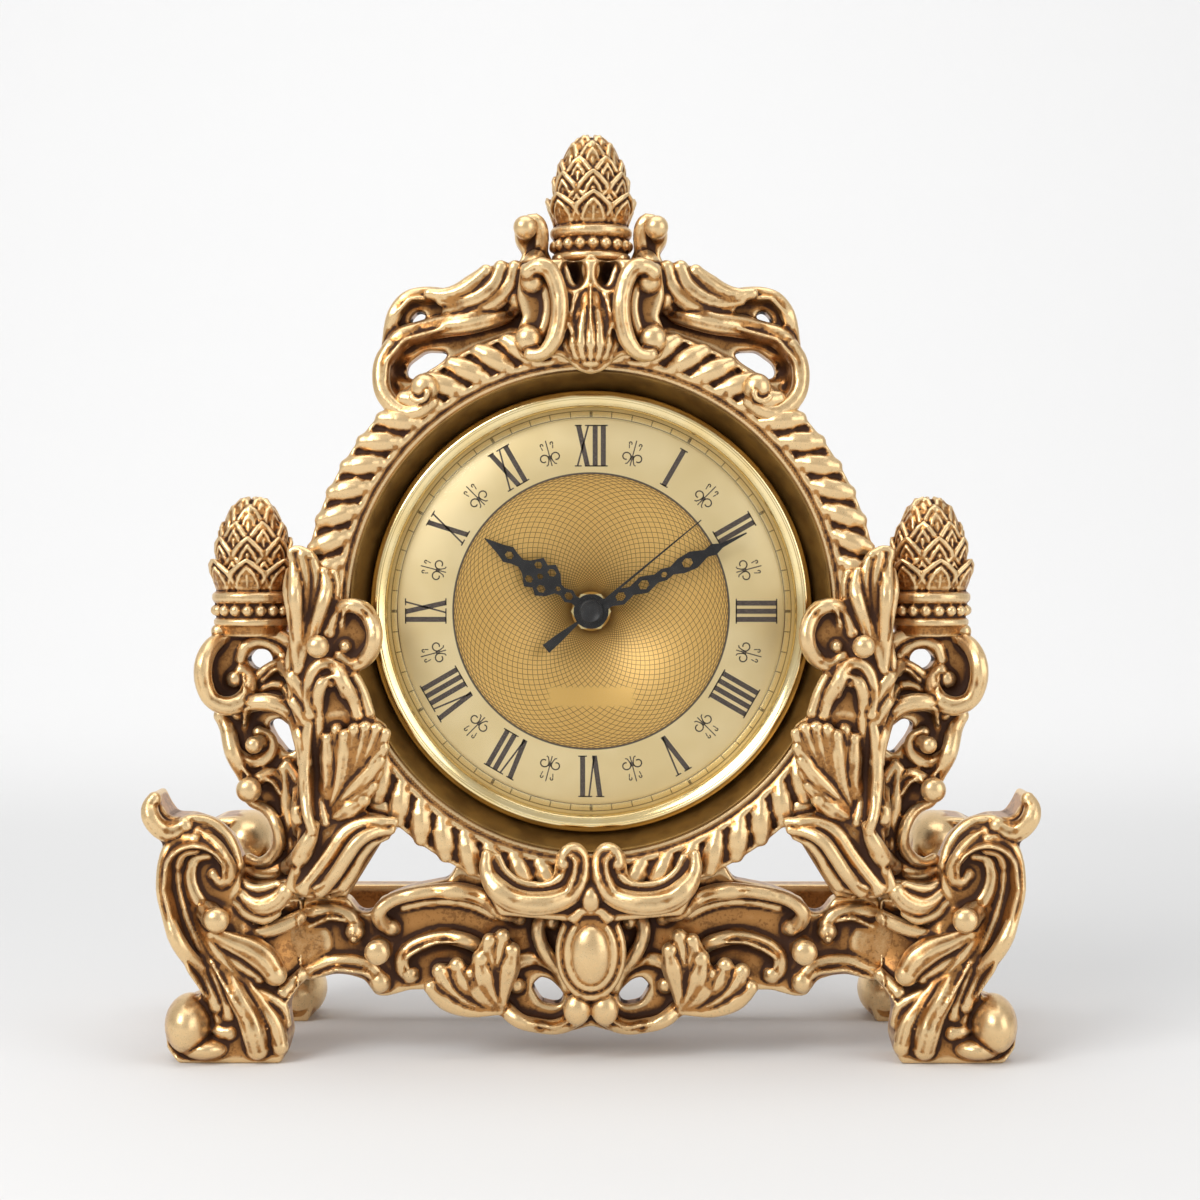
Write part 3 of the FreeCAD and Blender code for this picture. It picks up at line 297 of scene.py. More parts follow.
world = bpy.data.worlds.new("studio")
bpy.context.scene.world = world
world.use_nodes = True
world_inputs = world.node_tree.nodes["Background"].inputs
world_inputs["Color"].default_value = (1.0, 1.0, 1.0, 1)
world_inputs["Strength"].default_value = WORLD_STRENGTH
bpy.context.scene.view_settings.view_transform = "Standard"
print("lamps:", [each.name for each in bpy.data.lights])

# %% [markdown]
# Antique gold on cast resin is a gold paint over a brown wash: the wash stays in the hollows,
# and the paint is rubbed bright on the ridges. The mesh carries how hollow each point lies,
# so the finish reads that, and fine noise breaks its edges up into the worn speckle. Wide
# recesses are also darkened towards brown as painted shade, where shade would fall on them.

# %% Antique gold
GOLD_BRIGHT = srgb(252, 222, 170)
GOLD_PLAIN = srgb(184, 132, 76)
GOLD_DULL = srgb(120, 80, 44)
# the brown of the painted shade in wide recesses
PAINTED_SHADE_BROWN = srgb(100, 62, 30)
WASH_BROWN = srgb(56, 29, 11)


def antique_gold():
    finish = Finish("antique_gold")
    hollow = finish.node("Attribute", {"attribute_name": "hollow"}, output="Fac")
    grain = finish.noise(2600, 3, 0.7)
    patches = finish.noise(240, 3, 0.6)
    speck = finish.noise(1000, 2, 0.6)
    painted_shade = finish.node("Attribute", {"attribute_name": "painted_shade"}, output="Fac")
    depth = hollow + (grain - 0.5) * 0.16 + (patches - 0.5) * 0.26
    wash = depth.between(0.66, 0.92)
    # painted shade: wide recesses are darkened towards brown, standing in for the shade that falls
    # in them
    shade = (painted_shade + (patches - 0.5) * 0.2 + (grain - 0.5) * 0.1).between(0.52, 0.96)
    rub = depth.between(0.48, 0.22)
    dull = (speck + (patches - 0.5) * 0.9).between(0.50, 0.64)
    colour = finish.mix(dull * 0.6, GOLD_PLAIN, GOLD_DULL)
    colour = finish.mix(rub * 0.74, colour, GOLD_BRIGHT)
    # the painted shade of wide recesses is mixed in here
    colour = finish.mix(shade * 0.80, colour, PAINTED_SHADE_BROWN)
    colour = finish.mix(wash * 0.96, colour, WASH_BROWN)
    rough = 0.30 + wash * 0.36 + (grain - 0.5) * 0.2
    metal = 0.84 - wash * 0.64 - dull * 0.12
    lumps = finish.noise(420, 2, 0.5)
    height = grain * 0.4 + speck * 0.5 + lumps * 1.6
    return finish.surface(Base_Color=colour, Metallic=metal, Roughness=rough,
                          Specular_IOR_Level=0.3, Normal=finish.bump(height, 0.0001, 0.5))


gilt = antique_gold()
print("finish:", gilt.name, "with", len(gilt.node_tree.nodes), "nodes")

# %% [markdown]
# A casting is carved here much as a modeller works in wax: rolls and beads are laid on the
# pierced plate, and then all of it is melted into one skin. Modelling that skin face by face
# would take far longer for the same look. First come the ball that every bead repeats, and the
# smooth curve that a roll follows through a few traced points.

# %% Balls and curves
ROW_STEPS = 4.0


def round_mould(subdivisions):
    """The corners and faces of a ball of radius one, to be repeated."""
    ball = bmesh.new()
    bmesh.ops.create_icosphere(ball, subdivisions=subdivisions, radius=1.0)
    corners = np.array([(*corner.co, 1.0) for corner in ball.verts])
    faces = np.array([[corner.index for corner in face.verts] for face in ball.faces])
    ball.free()
    return corners, faces


SMALL_BALL, LARGE_BALL = round_mould(3), round_mould(5)
LARGE = 5 * MM


def smooth_row(points):
    """Traced points with more between them, on a smooth curve through them all."""
    rows = [np.array(point[:3], float) for point in points]
    rows = [2 * rows[0] - rows[1]] + rows + [2 * rows[-1] - rows[-2]]
    made = []
    for before, near, far, after in zip(rows, rows[1:], rows[2:], rows[3:]):
        count = max(1, round(float(np.hypot(*(far - near)[:2])) / ROW_STEPS))
        for share in np.arange(count) / count:
            made.append(0.5 * (2 * near + (far - before) * share
                               + (2 * before - 5 * near + 4 * far - after) * share ** 2
                               + (3 * near - before - 3 * far + after) * share ** 3))
    return made + [rows[-2]]


def evened(values):
    """Values along a row, each one the mean of the five round it."""
    return np.convolve([values[0]] * 2 + list(values) + [values[-1]] * 2, [0.2] * 5, "valid")


print("faces of a small and a large ball:", len(SMALL_BALL[1]), len(LARGE_BALL[1]))

# %% [markdown]
# A roll is given by a few points with a radius at each. It is draped: its depth is read off the
# measured plate under it, so it follows the raised parts below, and it swells where the plate
# is wide enough. A leaf is a set of such rolls from one root, side by side.

# %% Rolls, beads and leaves
FREE_FRONT = 35.0
RAY_FRONT = 90
LEAST_FRONT = 20
SWELLS = (1.28, 1.14)
SINK = 0.35
FLUTE_SIZES = ((0.3, 0.58), (0.6, 0.90), (0.85, 0.96), (1.0, 0.50))
ROUND_ABOUT = [(math.cos(math.tau * step / 8), math.sin(math.tau * step / 8)) for step in range(8)]


class Carving:
    """Rolls and beads that are laid on one casting."""

    def __init__(self, node=None, both=False, dips=()):
        self.sides = (1, -1) if both else (1,)
        self.curve = bpy.data.curves.new("rolls", "CURVE")
        self.curve.dimensions = "3D"
        self.curve.bevel_depth = 1.0
        self.curve.bevel_resolution = 2
        self.curve.use_fill_caps = True
        self.balls = []
        self.corners = 0
        self.plate = None
        if node:
            self.plate = dipped(worn(copy_of(node)), dips, self.sides)
            self.tree = BVHTree.FromBMesh(self.plate)

    def front_at(self, across, down):
        """How far in front the plate lies there, in millimetres, or nothing beside it."""
        hit = self.tree.ray_cast(at(across, down, RAY_FRONT), Vector((0, 1, 0)))[0]
        return -hit.y / MM if hit and hit.y < -LEAST_FRONT * MM else None

    def draped(self, rows):
        """The depth of the plate along a row, carried on over gaps and evened out."""
        fronts = [self.front_at(row[0], row[1]) for row in rows]
        last = next((front for front in fronts if front is not None), FREE_FRONT)
        for index, front in enumerate(fronts):
            last = front if front is not None else last
            fronts[index] = last
        return evened(fronts)

    def fitted(self, across, down, radius):
        """The radius swelled as far as the plate is wide enough for it."""
        for swell in SWELLS:
            reach = radius * swell
            rim = [self.front_at(across + reach * x, down + reach * y) for x, y in ROUND_ABOUT]
            if None not in rim:
                return max(reach, 1.0)
        return max(radius, 1.0)

    def roll(self, points, lift=0.0, seat=None):
        """One roll through (across, down, radius in steps), lifted by a share of its radius."""
        rows = smooth_row(points)
        fronts = list(np.linspace(*seat, len(rows))) if seat else self.draped(rows)
        radii = evened([self.fitted(*row) * STEP for row in rows])
        for side in self.sides:
            places = [at(row[0], row[1], front + (lift - SINK) * radius / MM, side)
                      for row, front, radius in zip(rows, fronts, radii)]
            self.line(places, radii)

    def line(self, places, radii):
        spline = self.curve.splines.new("POLY")
        spline.points.add(len(places) - 1)
        for point, place, radius in zip(spline.points, places, radii):
            point.co = (*place, 1)
            point.radius = radius
        for place, radius in ((places[0], radii[0]), (places[-1], radii[-1])):
            self.ball(place, (radius, radius, radius))

    def ball(self, place, radii, turn=None):
        spread = Matrix.Translation(place) @ (turn or Matrix()) @ Matrix.Diagonal((*radii, 1))
        corners, faces = LARGE_BALL if max(radii) > LARGE else SMALL_BALL
        self.balls.append(((corners @ np.array(spread).T)[:, :3], faces + self.corners))
        self.corners += len(corners)

    def bead(self, across, down, radius, tall=None, rise=None, seat=None):
        """A round or oval bead of a radius in steps; rise is its own height in steps."""
        seat = seat or self.draped([(across, down)])[0]
        for side in self.sides:
            radii = (radius * STEP, (rise or radius) * STEP, (tall or radius) * STEP)
            self.ball(at(across, down, seat, side), radii)

    def leaf(self, root, tips, fill=0.56, seat=None):
        """A fluted leaf: rolls from one root to tips of (across, down, lean), side by side."""
        for index, tip in enumerate(tips):
            near = [tips[k] for k in (index - 1, index + 1) if 0 <= k < len(tips)]
            gap = sum(math.dist(tip[:2], each[:2]) for each in near) / len(near)
            fat = fill * gap
            run = (tip[0] - root[0], tip[1] - root[1])
            rows = [(*root, max(fat * 0.35, 2.0))]
            for share, size in FLUTE_SIZES:
                out = tip[2] * 4 * share * (1 - share)
                rows.append((root[0] + run[0] * share - run[1] * out,
                             root[1] + run[1] * share + run[0] * out, max(fat * size, 1.8)))
            self.roll(rows, seat=seat)

    def tell(self, what):
        print(f"{what}: {len(self.curve.splines)} rolls and {len(self.balls)} balls so far")

    def mesh(self):
        """All the rolls and balls in one mesh."""
        rolls = bpy.data.objects.new("rolls", self.curve)
        made = bpy.data.meshes.new_from_object(rolls) if self.curve.splines else None
        bpy.data.objects.remove(rolls)
        shape = bmesh.new()
        if made:
            shape.from_mesh(made)
            bpy.data.meshes.remove(made)
        if self.balls:
            places, faces = (np.concatenate(rows).tolist() for rows in zip(*self.balls))
            heap = bpy.data.meshes.new("balls")
            heap.from_pydata(places, [], faces)
            shape.from_mesh(heap)
            bpy.data.meshes.remove(heap)
        return shape


def tilted(degrees):
    """A turn about the dial's axis, for a ball that leans."""
    return Matrix.Rotation(math.radians(degrees), 4, "Y")


print("a roll's middle lies", SINK, "of its radius under the plate's face")

# %% [markdown]
# The measured plate has sharp steps, and a worn casting has soft ones. So the plate is melted
# and softened before anything is laid on it. Where the real casting is pressed in, as behind a
# leaf, a soft dip goes into the plate's face. A voxel remesh does the melting, because it keeps
# the outer skin alone of all that goes in.

# %% Worn plates and melting
def copy_of(node):
    """A CAD node's mesh as a bmesh with its doubles merged."""
    shape = bmesh.new()
    shape.from_mesh(nodes[node].data)
    bmesh.ops.remove_doubles(shape, verts=shape.verts, dist=0.005 * MM)
    return shape


def dipped(shape, dips, sides):
    """Press soft dips into a plate's face: (across, down, half width, half height, depth in mm)."""
    for across, down, wide, tall, depth in dips:
        for side in sides:
            middle = at(across, down, 0, side)
            for corner in shape.verts:
                beside, above = corner.co.x - middle.x, corner.co.z - middle.z
                away = math.hypot(beside / wide, above / tall) / STEP
                if away < 1 and corner.normal.y < -0.2:
                    corner.co.y += depth * MM * (1 - away * away) ** 1.5
    shape.normal_update()
    return shape


def worn(shape):
    """A plate whose steps are worn down to soft slopes."""
    mesh = melted(shape, 0.6, 18)
    soft = bmesh.new()
    soft.from_mesh(mesh)
    bpy.data.meshes.remove(mesh)
    return soft


def melted(shape, cell, passes):
    """The shape's outer skin as one mesh of small even faces, softened."""
    mesh = bpy.data.meshes.new("wax")
    shape.to_mesh(mesh)
    shape.free()
    wax = link(bpy.data.objects.new("wax", mesh))
    skin = wax.modifiers.new("skin", "REMESH")
    skin.mode = "VOXEL"
    skin.voxel_size = cell * MM
    soft = wax.modifiers.new("soft", "SMOOTH")
    soft.factor = 0.5
    soft.iterations = passes
    view = bpy.context.evaluated_depsgraph_get()
    made = bpy.data.meshes.new_from_object(wax.evaluated_get(view))
    bpy.data.objects.remove(wax)
    bpy.data.meshes.remove(mesh)
    made.materials.clear()
    return made


print("casting tools ready")

# %% [markdown]
# Paint wears on ridges and stays in hollows. A point lies in a hollow when its neighbours'
# average lies outside the surface, so the mesh is relaxed in three steps, and each step tells
# of hollows of its own width. The fine ones are kept for the wash and the worn ridges, and the
# broad ones for the painted shade that darkens wide recesses.

# %% How hollow each point lies
HOLLOW_PASSES = ((3, 0.05, 1.1), (12, 0.18, 1.3), (45, 0.5, 0.0))


def mark_hollows(mesh):
    count = len(mesh.vertices)
    place = np.empty(count * 3)
    mesh.vertices.foreach_get("co", place)
    place = place.reshape(-1, 3)
    outward = np.empty(count * 3)
    mesh.vertices.foreach_get("normal", outward)
    outward = outward.reshape(-1, 3)
    ends = np.empty(len(mesh.edges) * 2, dtype=np.int64)
    mesh.edges.foreach_get("vertices", ends)
    ends = ends.reshape(-1, 2)
    start = np.concatenate([ends[:, 0], ends[:, 1]])
    stop = np.concatenate([ends[:, 1], ends[:, 0]])
    links = np.maximum(np.bincount(start, minlength=count), 1)[:, None]
    soft = place.copy()
    total = np.zeros(count)
    broad = total
    for passes, width, weight in HOLLOW_PASSES:
        for _ in range(passes):
            near = np.stack([np.bincount(start, soft[stop, axis], count) for axis in range(3)], 1)
            soft = (soft + near / links) / 2
        sink = ((soft - place) * outward).sum(1) / (width * MM)
        total += weight * np.clip(sink, -1, 1)
        broad = np.clip(sink, -1, 1)
    # The second attribute holds only the broad hollows, which the finish darkens as painted shade.
    for name, value in (("hollow", 0.5 + total * 0.24), ("painted_shade", 0.5 + broad * 0.5)):
        value = np.clip(value, 0, 1).astype(np.float32)
        mesh.attributes.new(name, "FLOAT", "POINT").data.foreach_set("value", value)


print("widths of the hollows in mm:", [width for _, width, _ in HOLLOW_PASSES])

# %% [markdown]
# A finished piece says which body it rides on and which CAD node it stands for. All castings
# go the same way: the rolls are put into the plate, all of it is melted, the hollows are marked
# and the piece is shown. Where the clock has the same casting on its other side, that one is a
# mirror image.

# %% Showing and casting
def show(name, mesh, material, body, slot, *replaced):
    """Put a finished mesh in the scene as a piece of the clock."""
    piece = link(bpy.data.objects.new(name, mesh))
    mesh.name = name
    mesh.polygons.foreach_set("use_smooth", [True] * len(mesh.polygons))
    mesh.materials.append(material)
    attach(piece, body)
    if replaced:
        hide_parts(*replaced)
    return piece


def with_carving(shape, carving):
    """Put a carving's rolls and beads into a shape."""
    rolls = bpy.data.meshes.new("rolls")
    carved = carving.mesh()
    carved.to_mesh(rolls)
    carved.free()
    shape.from_mesh(rolls)
    bpy.data.meshes.remove(rolls)
    return shape


def cast(name, node, carving, cell=0.5, passes=2, shape=None):
    """A casting from its plate and its carving, in antique gold."""
    mesh = melted(with_carving(shape or carving.plate or copy_of(node), carving), cell, passes)
    mark_hollows(mesh)
    print(f"{name}: {len(mesh.polygons)} faces")
    return show(name, mesh, gilt, "clock", "gilt_resin", node)


def mirror_image(piece, name, node):
    """The same casting for the other side."""
    shape = bmesh.new()
    shape.from_mesh(piece.data)
    bmesh.ops.scale(shape, verts=shape.verts, vec=(-1, 1, 1))
    bmesh.ops.reverse_faces(shape, faces=shape.faces)
    mesh = bpy.data.meshes.new(name)
    shape.to_mesh(mesh)
    shape.free()
    return show(name, mesh, gilt, "clock", "gilt_resin", node)


print("castings are finished in", gilt.name)

# %% [markdown]
# The crest is a pair of feathered wings that turn into C-scrolls, with a pair of smaller
# scrolls and a gadrooned drop between them. Those front pieces lie over the dial ring.

# %% Crest wings
CREST_DIPS = ((574, 277, 14, 19, 9.0), (410, 370, 20, 14, 3.0))


def crest_wings(work):
    work.bead(526, 231, 12)
    work.roll([(526, 224, 7), (535, 221, 8), (541, 231, 8), (540, 248, 8), (533, 268, 9)], 0.1)
    work.ball(at(480, 297, 31.5), (42 * STEP, 3.4 * MM, 14 * STEP), tilted(-28))
    work.roll([(487, 274, 6), (476, 284, 8), (462, 293, 8), (446, 297, 6.5), (430, 295, 4)],
               seat=(34.5, 32.5))
    work.roll([(502, 271, 6), (495, 287, 8.5), (479, 299, 8.5), (460, 304, 6.5), (442, 302, 4)],
               seat=(35, 32.5))
    work.roll([(516, 271, 6), (510, 289, 8), (494, 304, 8), (474, 310, 6.5), (452, 309, 4)],
               seat=(35.5, 32))
    work.roll([(455, 298, 5), (440, 295, 7.5), (422, 294, 8), (406, 299, 8), (396, 311, 8),
               (390, 328, 7.5), (387, 347, 7), (383, 362, 6)])
    work.roll([(520, 302, 8), (500, 315, 9), (470, 324, 9.5), (440, 327, 9.5), (415, 332, 9.5),
               (397, 343, 9.5), (386, 359, 9.5)], 0.1)
    work.roll([(392, 348, 9.5), (384, 362, 9.5), (382, 378, 9.5), (385, 394, 9.5), (395, 407, 9.5),
               (408, 414, 9), (422, 412, 8.5), (434, 404, 7)], seat=(31, 37))
    work.bead(427, 390, 14.5, rise=13, seat=37)
    work.roll([(414, 400, 3), (420, 404, 3), (428, 402, 3), (431, 396, 2.5)], seat=(39.5, 41))


crest = Carving("crest", both=True, dips=CREST_DIPS)
crest_wings(crest)
crest.tell("crest with its wings")

# %% [markdown]
# The inner scrolls stand on both sides of the drop, each with a ball in its upper and its lower
# curl. A thinner roll inside the outer one gives the double edge of the real scroll.

# %% Crest scrolls
def crest_scrolls(work):
    work.roll([(530, 278, 6), (538, 273, 7), (549, 275, 7), (556, 286, 7), (560, 301, 7),
               (561, 316, 7), (559, 332, 7), (554, 347, 7), (544, 358, 7), (532, 359, 7)], 0.2)
    work.roll([(543, 284, 4), (547, 297, 4.5), (549, 311, 4.5), (547, 325, 4.5), (542, 338, 4)],
               0.2)
    work.bead(534, 287, 11.5, rise=11)
    work.bead(530, 343, 14, rise=12)
    work.roll([(590, 262, 4), (586, 272, 3.6), (589, 284, 4), (591, 294, 5)], seat=(37.5, 38))
    work.roll([(560, 262, 3.5), (566, 274, 3.2), (571, 288, 3.2), (580, 298, 4)], seat=(36.5, 37))


crest_scrolls(crest)
crest.tell("crest with its scrolls")

# %% [markdown]
# The drop is a gadroon: nine ribs that swell and close again. Each rib is a line of a changing
# radius, bent round the drop, and flattened balls behind the ribs fill the ground.

# %% Crest drop and casting
DROP_PROFILE = ((0.0, 4), (0.15, 10), (0.35, 19), (0.55, 25), (0.75, 27), (0.9, 21), (1.0, 9))


def crest_drop(work):
    """The drop between the scrolls, with nine ribs from its neck to its foot."""
    for rib in range(-4, 5):
        turn = math.radians(20 * rib)
        places = []
        radii = []
        for share, half in DROP_PROFILE:
            down = 290 + 78 * share
            front = 37.0 + half * 0.2 * math.cos(turn)
            places.append(at(MIDDLE_STEP + half * math.sin(turn), down, front))
            radii.append((1.0 + half * 0.15) * STEP)
        work.line(places, radii)
    work.ball(at(MIDDLE_STEP, 342, 37), (25 * STEP, 6.0 * MM, 29 * STEP))
    work.ball(at(MIDDLE_STEP, 314, 37), (15 * STEP, 4.4 * MM, 26 * STEP))
    work.ball(at(MIDDLE_STEP, 367, 38.5), (11 * STEP, 3 * MM, 5 * STEP))


crest_drop(crest)
cast("crest_casting", "crest", crest)

# %% [markdown]
# The side brackets carry the outer finials. Each is a thicket of scrolls and acanthus leaves:
# rolls make the scrolls, and sets of rolls from one root make the fluted leaves.

# %% Bracket scrolls
BRACKET_DIPS = ((345, 772, 54, 62, 6.0),)


def bracket_scrolls(work):
    work.roll([(216, 632, 8), (238, 630, 8), (262, 632, 8), (284, 640, 8), (299, 655, 7)],
               seat=(27, 27))
    work.roll([(224, 636, 7), (211, 646, 9), (205, 662, 9.5), (205, 682, 9.5), (212, 699, 9),
               (226, 706, 8.5), (239, 703, 8), (247, 693, 7), (247, 680, 6.5), (239, 672, 6)])
    work.bead(233, 680, 9, rise=8)
    work.roll([(238, 660, 4), (243, 647, 5), (257, 642, 5), (272, 647, 5), (281, 659, 5),
               (284, 672, 4.5)])
    work.roll([(218, 717, 8), (225, 730, 9), (230, 747, 9), (236, 763, 9), (243, 778, 8)])
    work.roll([(237, 714, 6), (251, 704, 7), (268, 702, 7.5), (284, 707, 7.5), (297, 719, 7.5),
               (305, 737, 7.5), (308, 760, 6)])
    work.roll([(229, 740, 6), (235, 755, 6.5), (247, 763, 6.5), (261, 761, 6.5), (270, 750, 6),
               (268, 738, 5.5), (257, 733, 5)], 0.2)
    work.bead(254, 745, 9, rise=10)
    work.bead(249, 790, 13, rise=11)
    work.roll([(259, 779, 5), (269, 775, 6), (279, 783, 6.5), (285, 797, 6.5), (286, 813, 6),
               (284, 828, 5)])
    work.roll([(242, 797, 5), (250, 805, 6), (260, 809, 6), (270, 817, 6.5), (277, 830, 6.5),
               (277, 846, 6.5), (268, 860, 6.5), (256, 866, 6.5), (245, 862, 6)])
    work.roll([(250, 686, 4), (262, 672, 5.5), (277, 666, 6), (291, 671, 6), (303, 685, 6),
               (312, 703, 5.5)])
    work.roll([(252, 696, 4), (268, 686, 5), (284, 689, 5), (298, 701, 5), (310, 719, 5)])


bracket = Carving("side_bracket_left", dips=BRACKET_DIPS)
bracket_scrolls(bracket)
bracket.tell("bracket with its scrolls")

# %% [markdown]
# A tall leaf stands at the ring's edge, with folded leaves at its foot. Its flutes are rolls
# that lie close together, thin at the root and fat near the head.

# %% Upright leaf and folds
def bracket_upright_leaf(work):
    """Six flutes that stand close together, over the ring's edge at their heads."""
    flutes = ([(302, 668, 4), (299, 640, 4.5), (295, 612, 5.5), (292, 588, 6), (294, 572, 5)],
              [(303, 666, 4), (303, 636, 5), (302, 606, 6), (300, 580, 6.5), (298, 560, 5)],
              [(304, 664, 4), (308, 634, 5), (310, 604, 6), (310, 578, 6.5), (307, 556, 5)],
              [(305, 662, 3.5), (313, 632, 5), (319, 604, 6), (321, 580, 6), (317, 562, 5)],
              [(307, 656, 3), (318, 630, 4.5), (327, 606, 5.5), (331, 588, 5.5), (328, 572, 4.5)],
              [(310, 650, 3), (322, 628, 4), (335, 606, 5), (340, 588, 5), (338, 573, 4)])
    for flute in flutes:
        work.roll(flute, 0.15)
    work.roll([(298, 560, 4.5), (295, 552, 4.5), (303, 550, 5), (314, 555, 5)], lift=0.5)
    work.bead(324, 645, 11.5, rise=10)


def bracket_folds(work):
    work.roll([(314, 712, 5), (313, 690, 6), (317, 672, 6.5), (327, 663, 7), (338, 665, 7),
               (346, 677, 6.5), (350, 691, 5)], 0.2)
    work.roll([(322, 712, 4), (323, 694, 5), (328, 680, 5), (335, 680, 4.5)], -0.1)
    work.roll([(348, 664, 5), (358, 677, 6.5), (366, 693, 6.5), (373, 711, 5)], 0.2)
    work.roll([(344, 668, 4), (350, 682, 5), (357, 698, 5.5), (361, 713, 4.5)], 0.1)
    work.roll([(314, 712, 4), (310, 740, 4.5), (308, 770, 5), (310, 800, 4.5), (317, 826, 4)])
    work.roll([(322, 716, 4.5), (321, 742, 5.5), (322, 772, 6), (323, 800, 5.5), (327, 820, 4.5)])
    work.roll([(282, 770, 5), (284, 790, 5.5), (286, 815, 6), (288, 838, 6), (291, 854, 5)], 0.4)
    work.roll([(285, 766, 4.5), (295, 782, 6), (301, 804, 6), (300, 828, 6), (294, 850, 5)], 0.4)


bracket_upright_leaf(bracket)
bracket_folds(bracket)
bracket.tell("bracket with its upright leaf")

# %% [markdown]
# The acanthus leaf is the largest form of the bracket. It swells towards the eye, so its flutes
# lie on flattened balls that raise the ground.

# %% Acanthus leaf
def bracket_acanthus(work):
    """A broad leaf on a swollen ground, in two lobes with a slit between them."""
    lean = tilted(38)
    work.ball(at(350, 772, 33.2), (27 * STEP, 5.8 * MM, 54 * STEP), lean)
    work.ball(at(366, 748, 35.8), (20 * STEP, 4.2 * MM, 22 * STEP))
    work.ball(at(380, 808, 31.5), (17 * STEP, 4.0 * MM, 14 * STEP))
    work.leaf((322, 824), [(331, 737, 0.06), (340, 728, 0.07)], fill=0.68, seat=(35, 39))
    work.leaf((326, 820), [(349, 733, 0.07), (358, 727, 0.08), (369, 725, 0.08), (380, 726, 0.07),
                           (389, 731, 0.05), (387, 745, 0.03), (383, 758, 0.0)],
              fill=0.80, seat=(36, 41))
    work.leaf((328, 822), [(381, 769, 0.02), (375, 783, 0.0), (366, 797, -0.02)],
              fill=0.72, seat=(36, 39.5))


bracket_acanthus(bracket)
bracket.tell("bracket with its acanthus leaf")

# %% [markdown]
# Long leaves sweep from under the acanthus down to the leg, and a small scroll curls over the
# ring's edge. Then the left bracket is cast, and the right one is its mirror image.

# %% Low leaves and casting
def bracket_low_leaves(work):
    work.leaf((243, 873), [(319, 822, 0.20), (316, 838, 0.17), (309, 852, 0.12), (298, 864, 0.08)],
              fill=0.46)
    work.roll([(240, 871, 5), (254, 878, 5.5), (270, 878, 5.5), (284, 870, 5)])
    work.roll([(397, 819, 4.5), (380, 820, 6.5), (362, 823, 7), (347, 832, 7), (336, 848, 7),
               (323, 866, 7), (309, 883, 6.5), (292, 897, 5)])
    work.roll([(394, 827, 4), (376, 829, 5), (362, 837, 5.5), (351, 852, 5.5), (339, 870, 5.5),
               (323, 888, 5.5), (306, 901, 4.5)])
    work.roll([(389, 834, 3.5), (375, 840, 4.5), (364, 852, 5), (355, 869, 5), (343, 886, 5),
               (328, 899, 4)])
    work.roll([(242, 884, 4), (256, 886, 4.5), (270, 885, 5), (283, 885, 4)])


def bracket_over_ring(work):
    work.roll([(333, 631, 5), (338, 616, 6.5), (348, 606, 7.5), (362, 606, 8), (373, 616, 8.5),
               (379, 632, 8.5), (376, 648, 8.5), (366, 660, 8), (353, 663, 7), (343, 656, 5.5)])
    work.bead(349, 645, 6, rise=7)


bracket_low_leaves(bracket)
bracket_over_ring(bracket)
bracket_left = cast("side_bracket_left_casting", "side_bracket_left", bracket)
mirror_image(bracket_left, "side_bracket_right_casting", "side_bracket_right")

# %% [markdown]
# The front legs are large scrolls with a horn at the top and a ball and a leafy toe below.
# They stand further forward than the rest, because they carry the clock.

# %% Leg scrolls
LEG_DIPS = ((307, 935, 62, 95, 10.5), (262, 905, 30, 30, 2.5), (190, 1026, 30, 36, 9.0))


def leg_scrolls(work):
    work.roll([(158, 797, 6.5), (154, 804, 9), (156, 815, 10), (164, 826, 10.5), (176, 830, 10),
               (188, 824, 8)])
    work.roll([(192, 818, 5), (204, 819, 6.5), (218, 825, 7), (229, 836, 7), (236, 850, 7),
               (240, 863, 6)])
    work.roll([(199, 837, 5), (184, 838, 6), (173, 847, 6.5), (168, 862, 6.5), (168, 881, 6.5),
               (171, 901, 6.5), (180, 925, 6.5), (192, 948, 6.5), (204, 968, 6.5), (214, 988, 6.5),
               (219, 1003, 6)])
    work.roll([(200, 846, 4), (188, 848, 5), (181, 860, 5.5), (180, 878, 5.5), (184, 900, 5.5),
               (193, 925, 5.5), (206, 948, 5.5), (219, 970, 5.5), (228, 994, 5.5), (231, 1012, 5)])
    work.roll([(200, 831, 5), (213, 838, 6), (224, 847, 6.5), (232, 859, 6.5), (232, 872, 6.5),
               (225, 879, 5.5), (217, 872, 4.5)])
    work.roll([(211, 852, 4.5), (199, 856, 6), (193, 870, 7), (196, 888, 7.5), (205, 903, 8.5),
               (218, 914, 10)])
    work.bead(223, 914, 13, rise=10)


leg = Carving("front_leg_left", dips=LEG_DIPS)
leg_scrolls(leg)
leg.tell("leg with its scrolls")

# %% [markdown]
# Leaves run down the leg to its toe, and a large ball carries the foot at the outer side. Both
# legs come from this one carving.

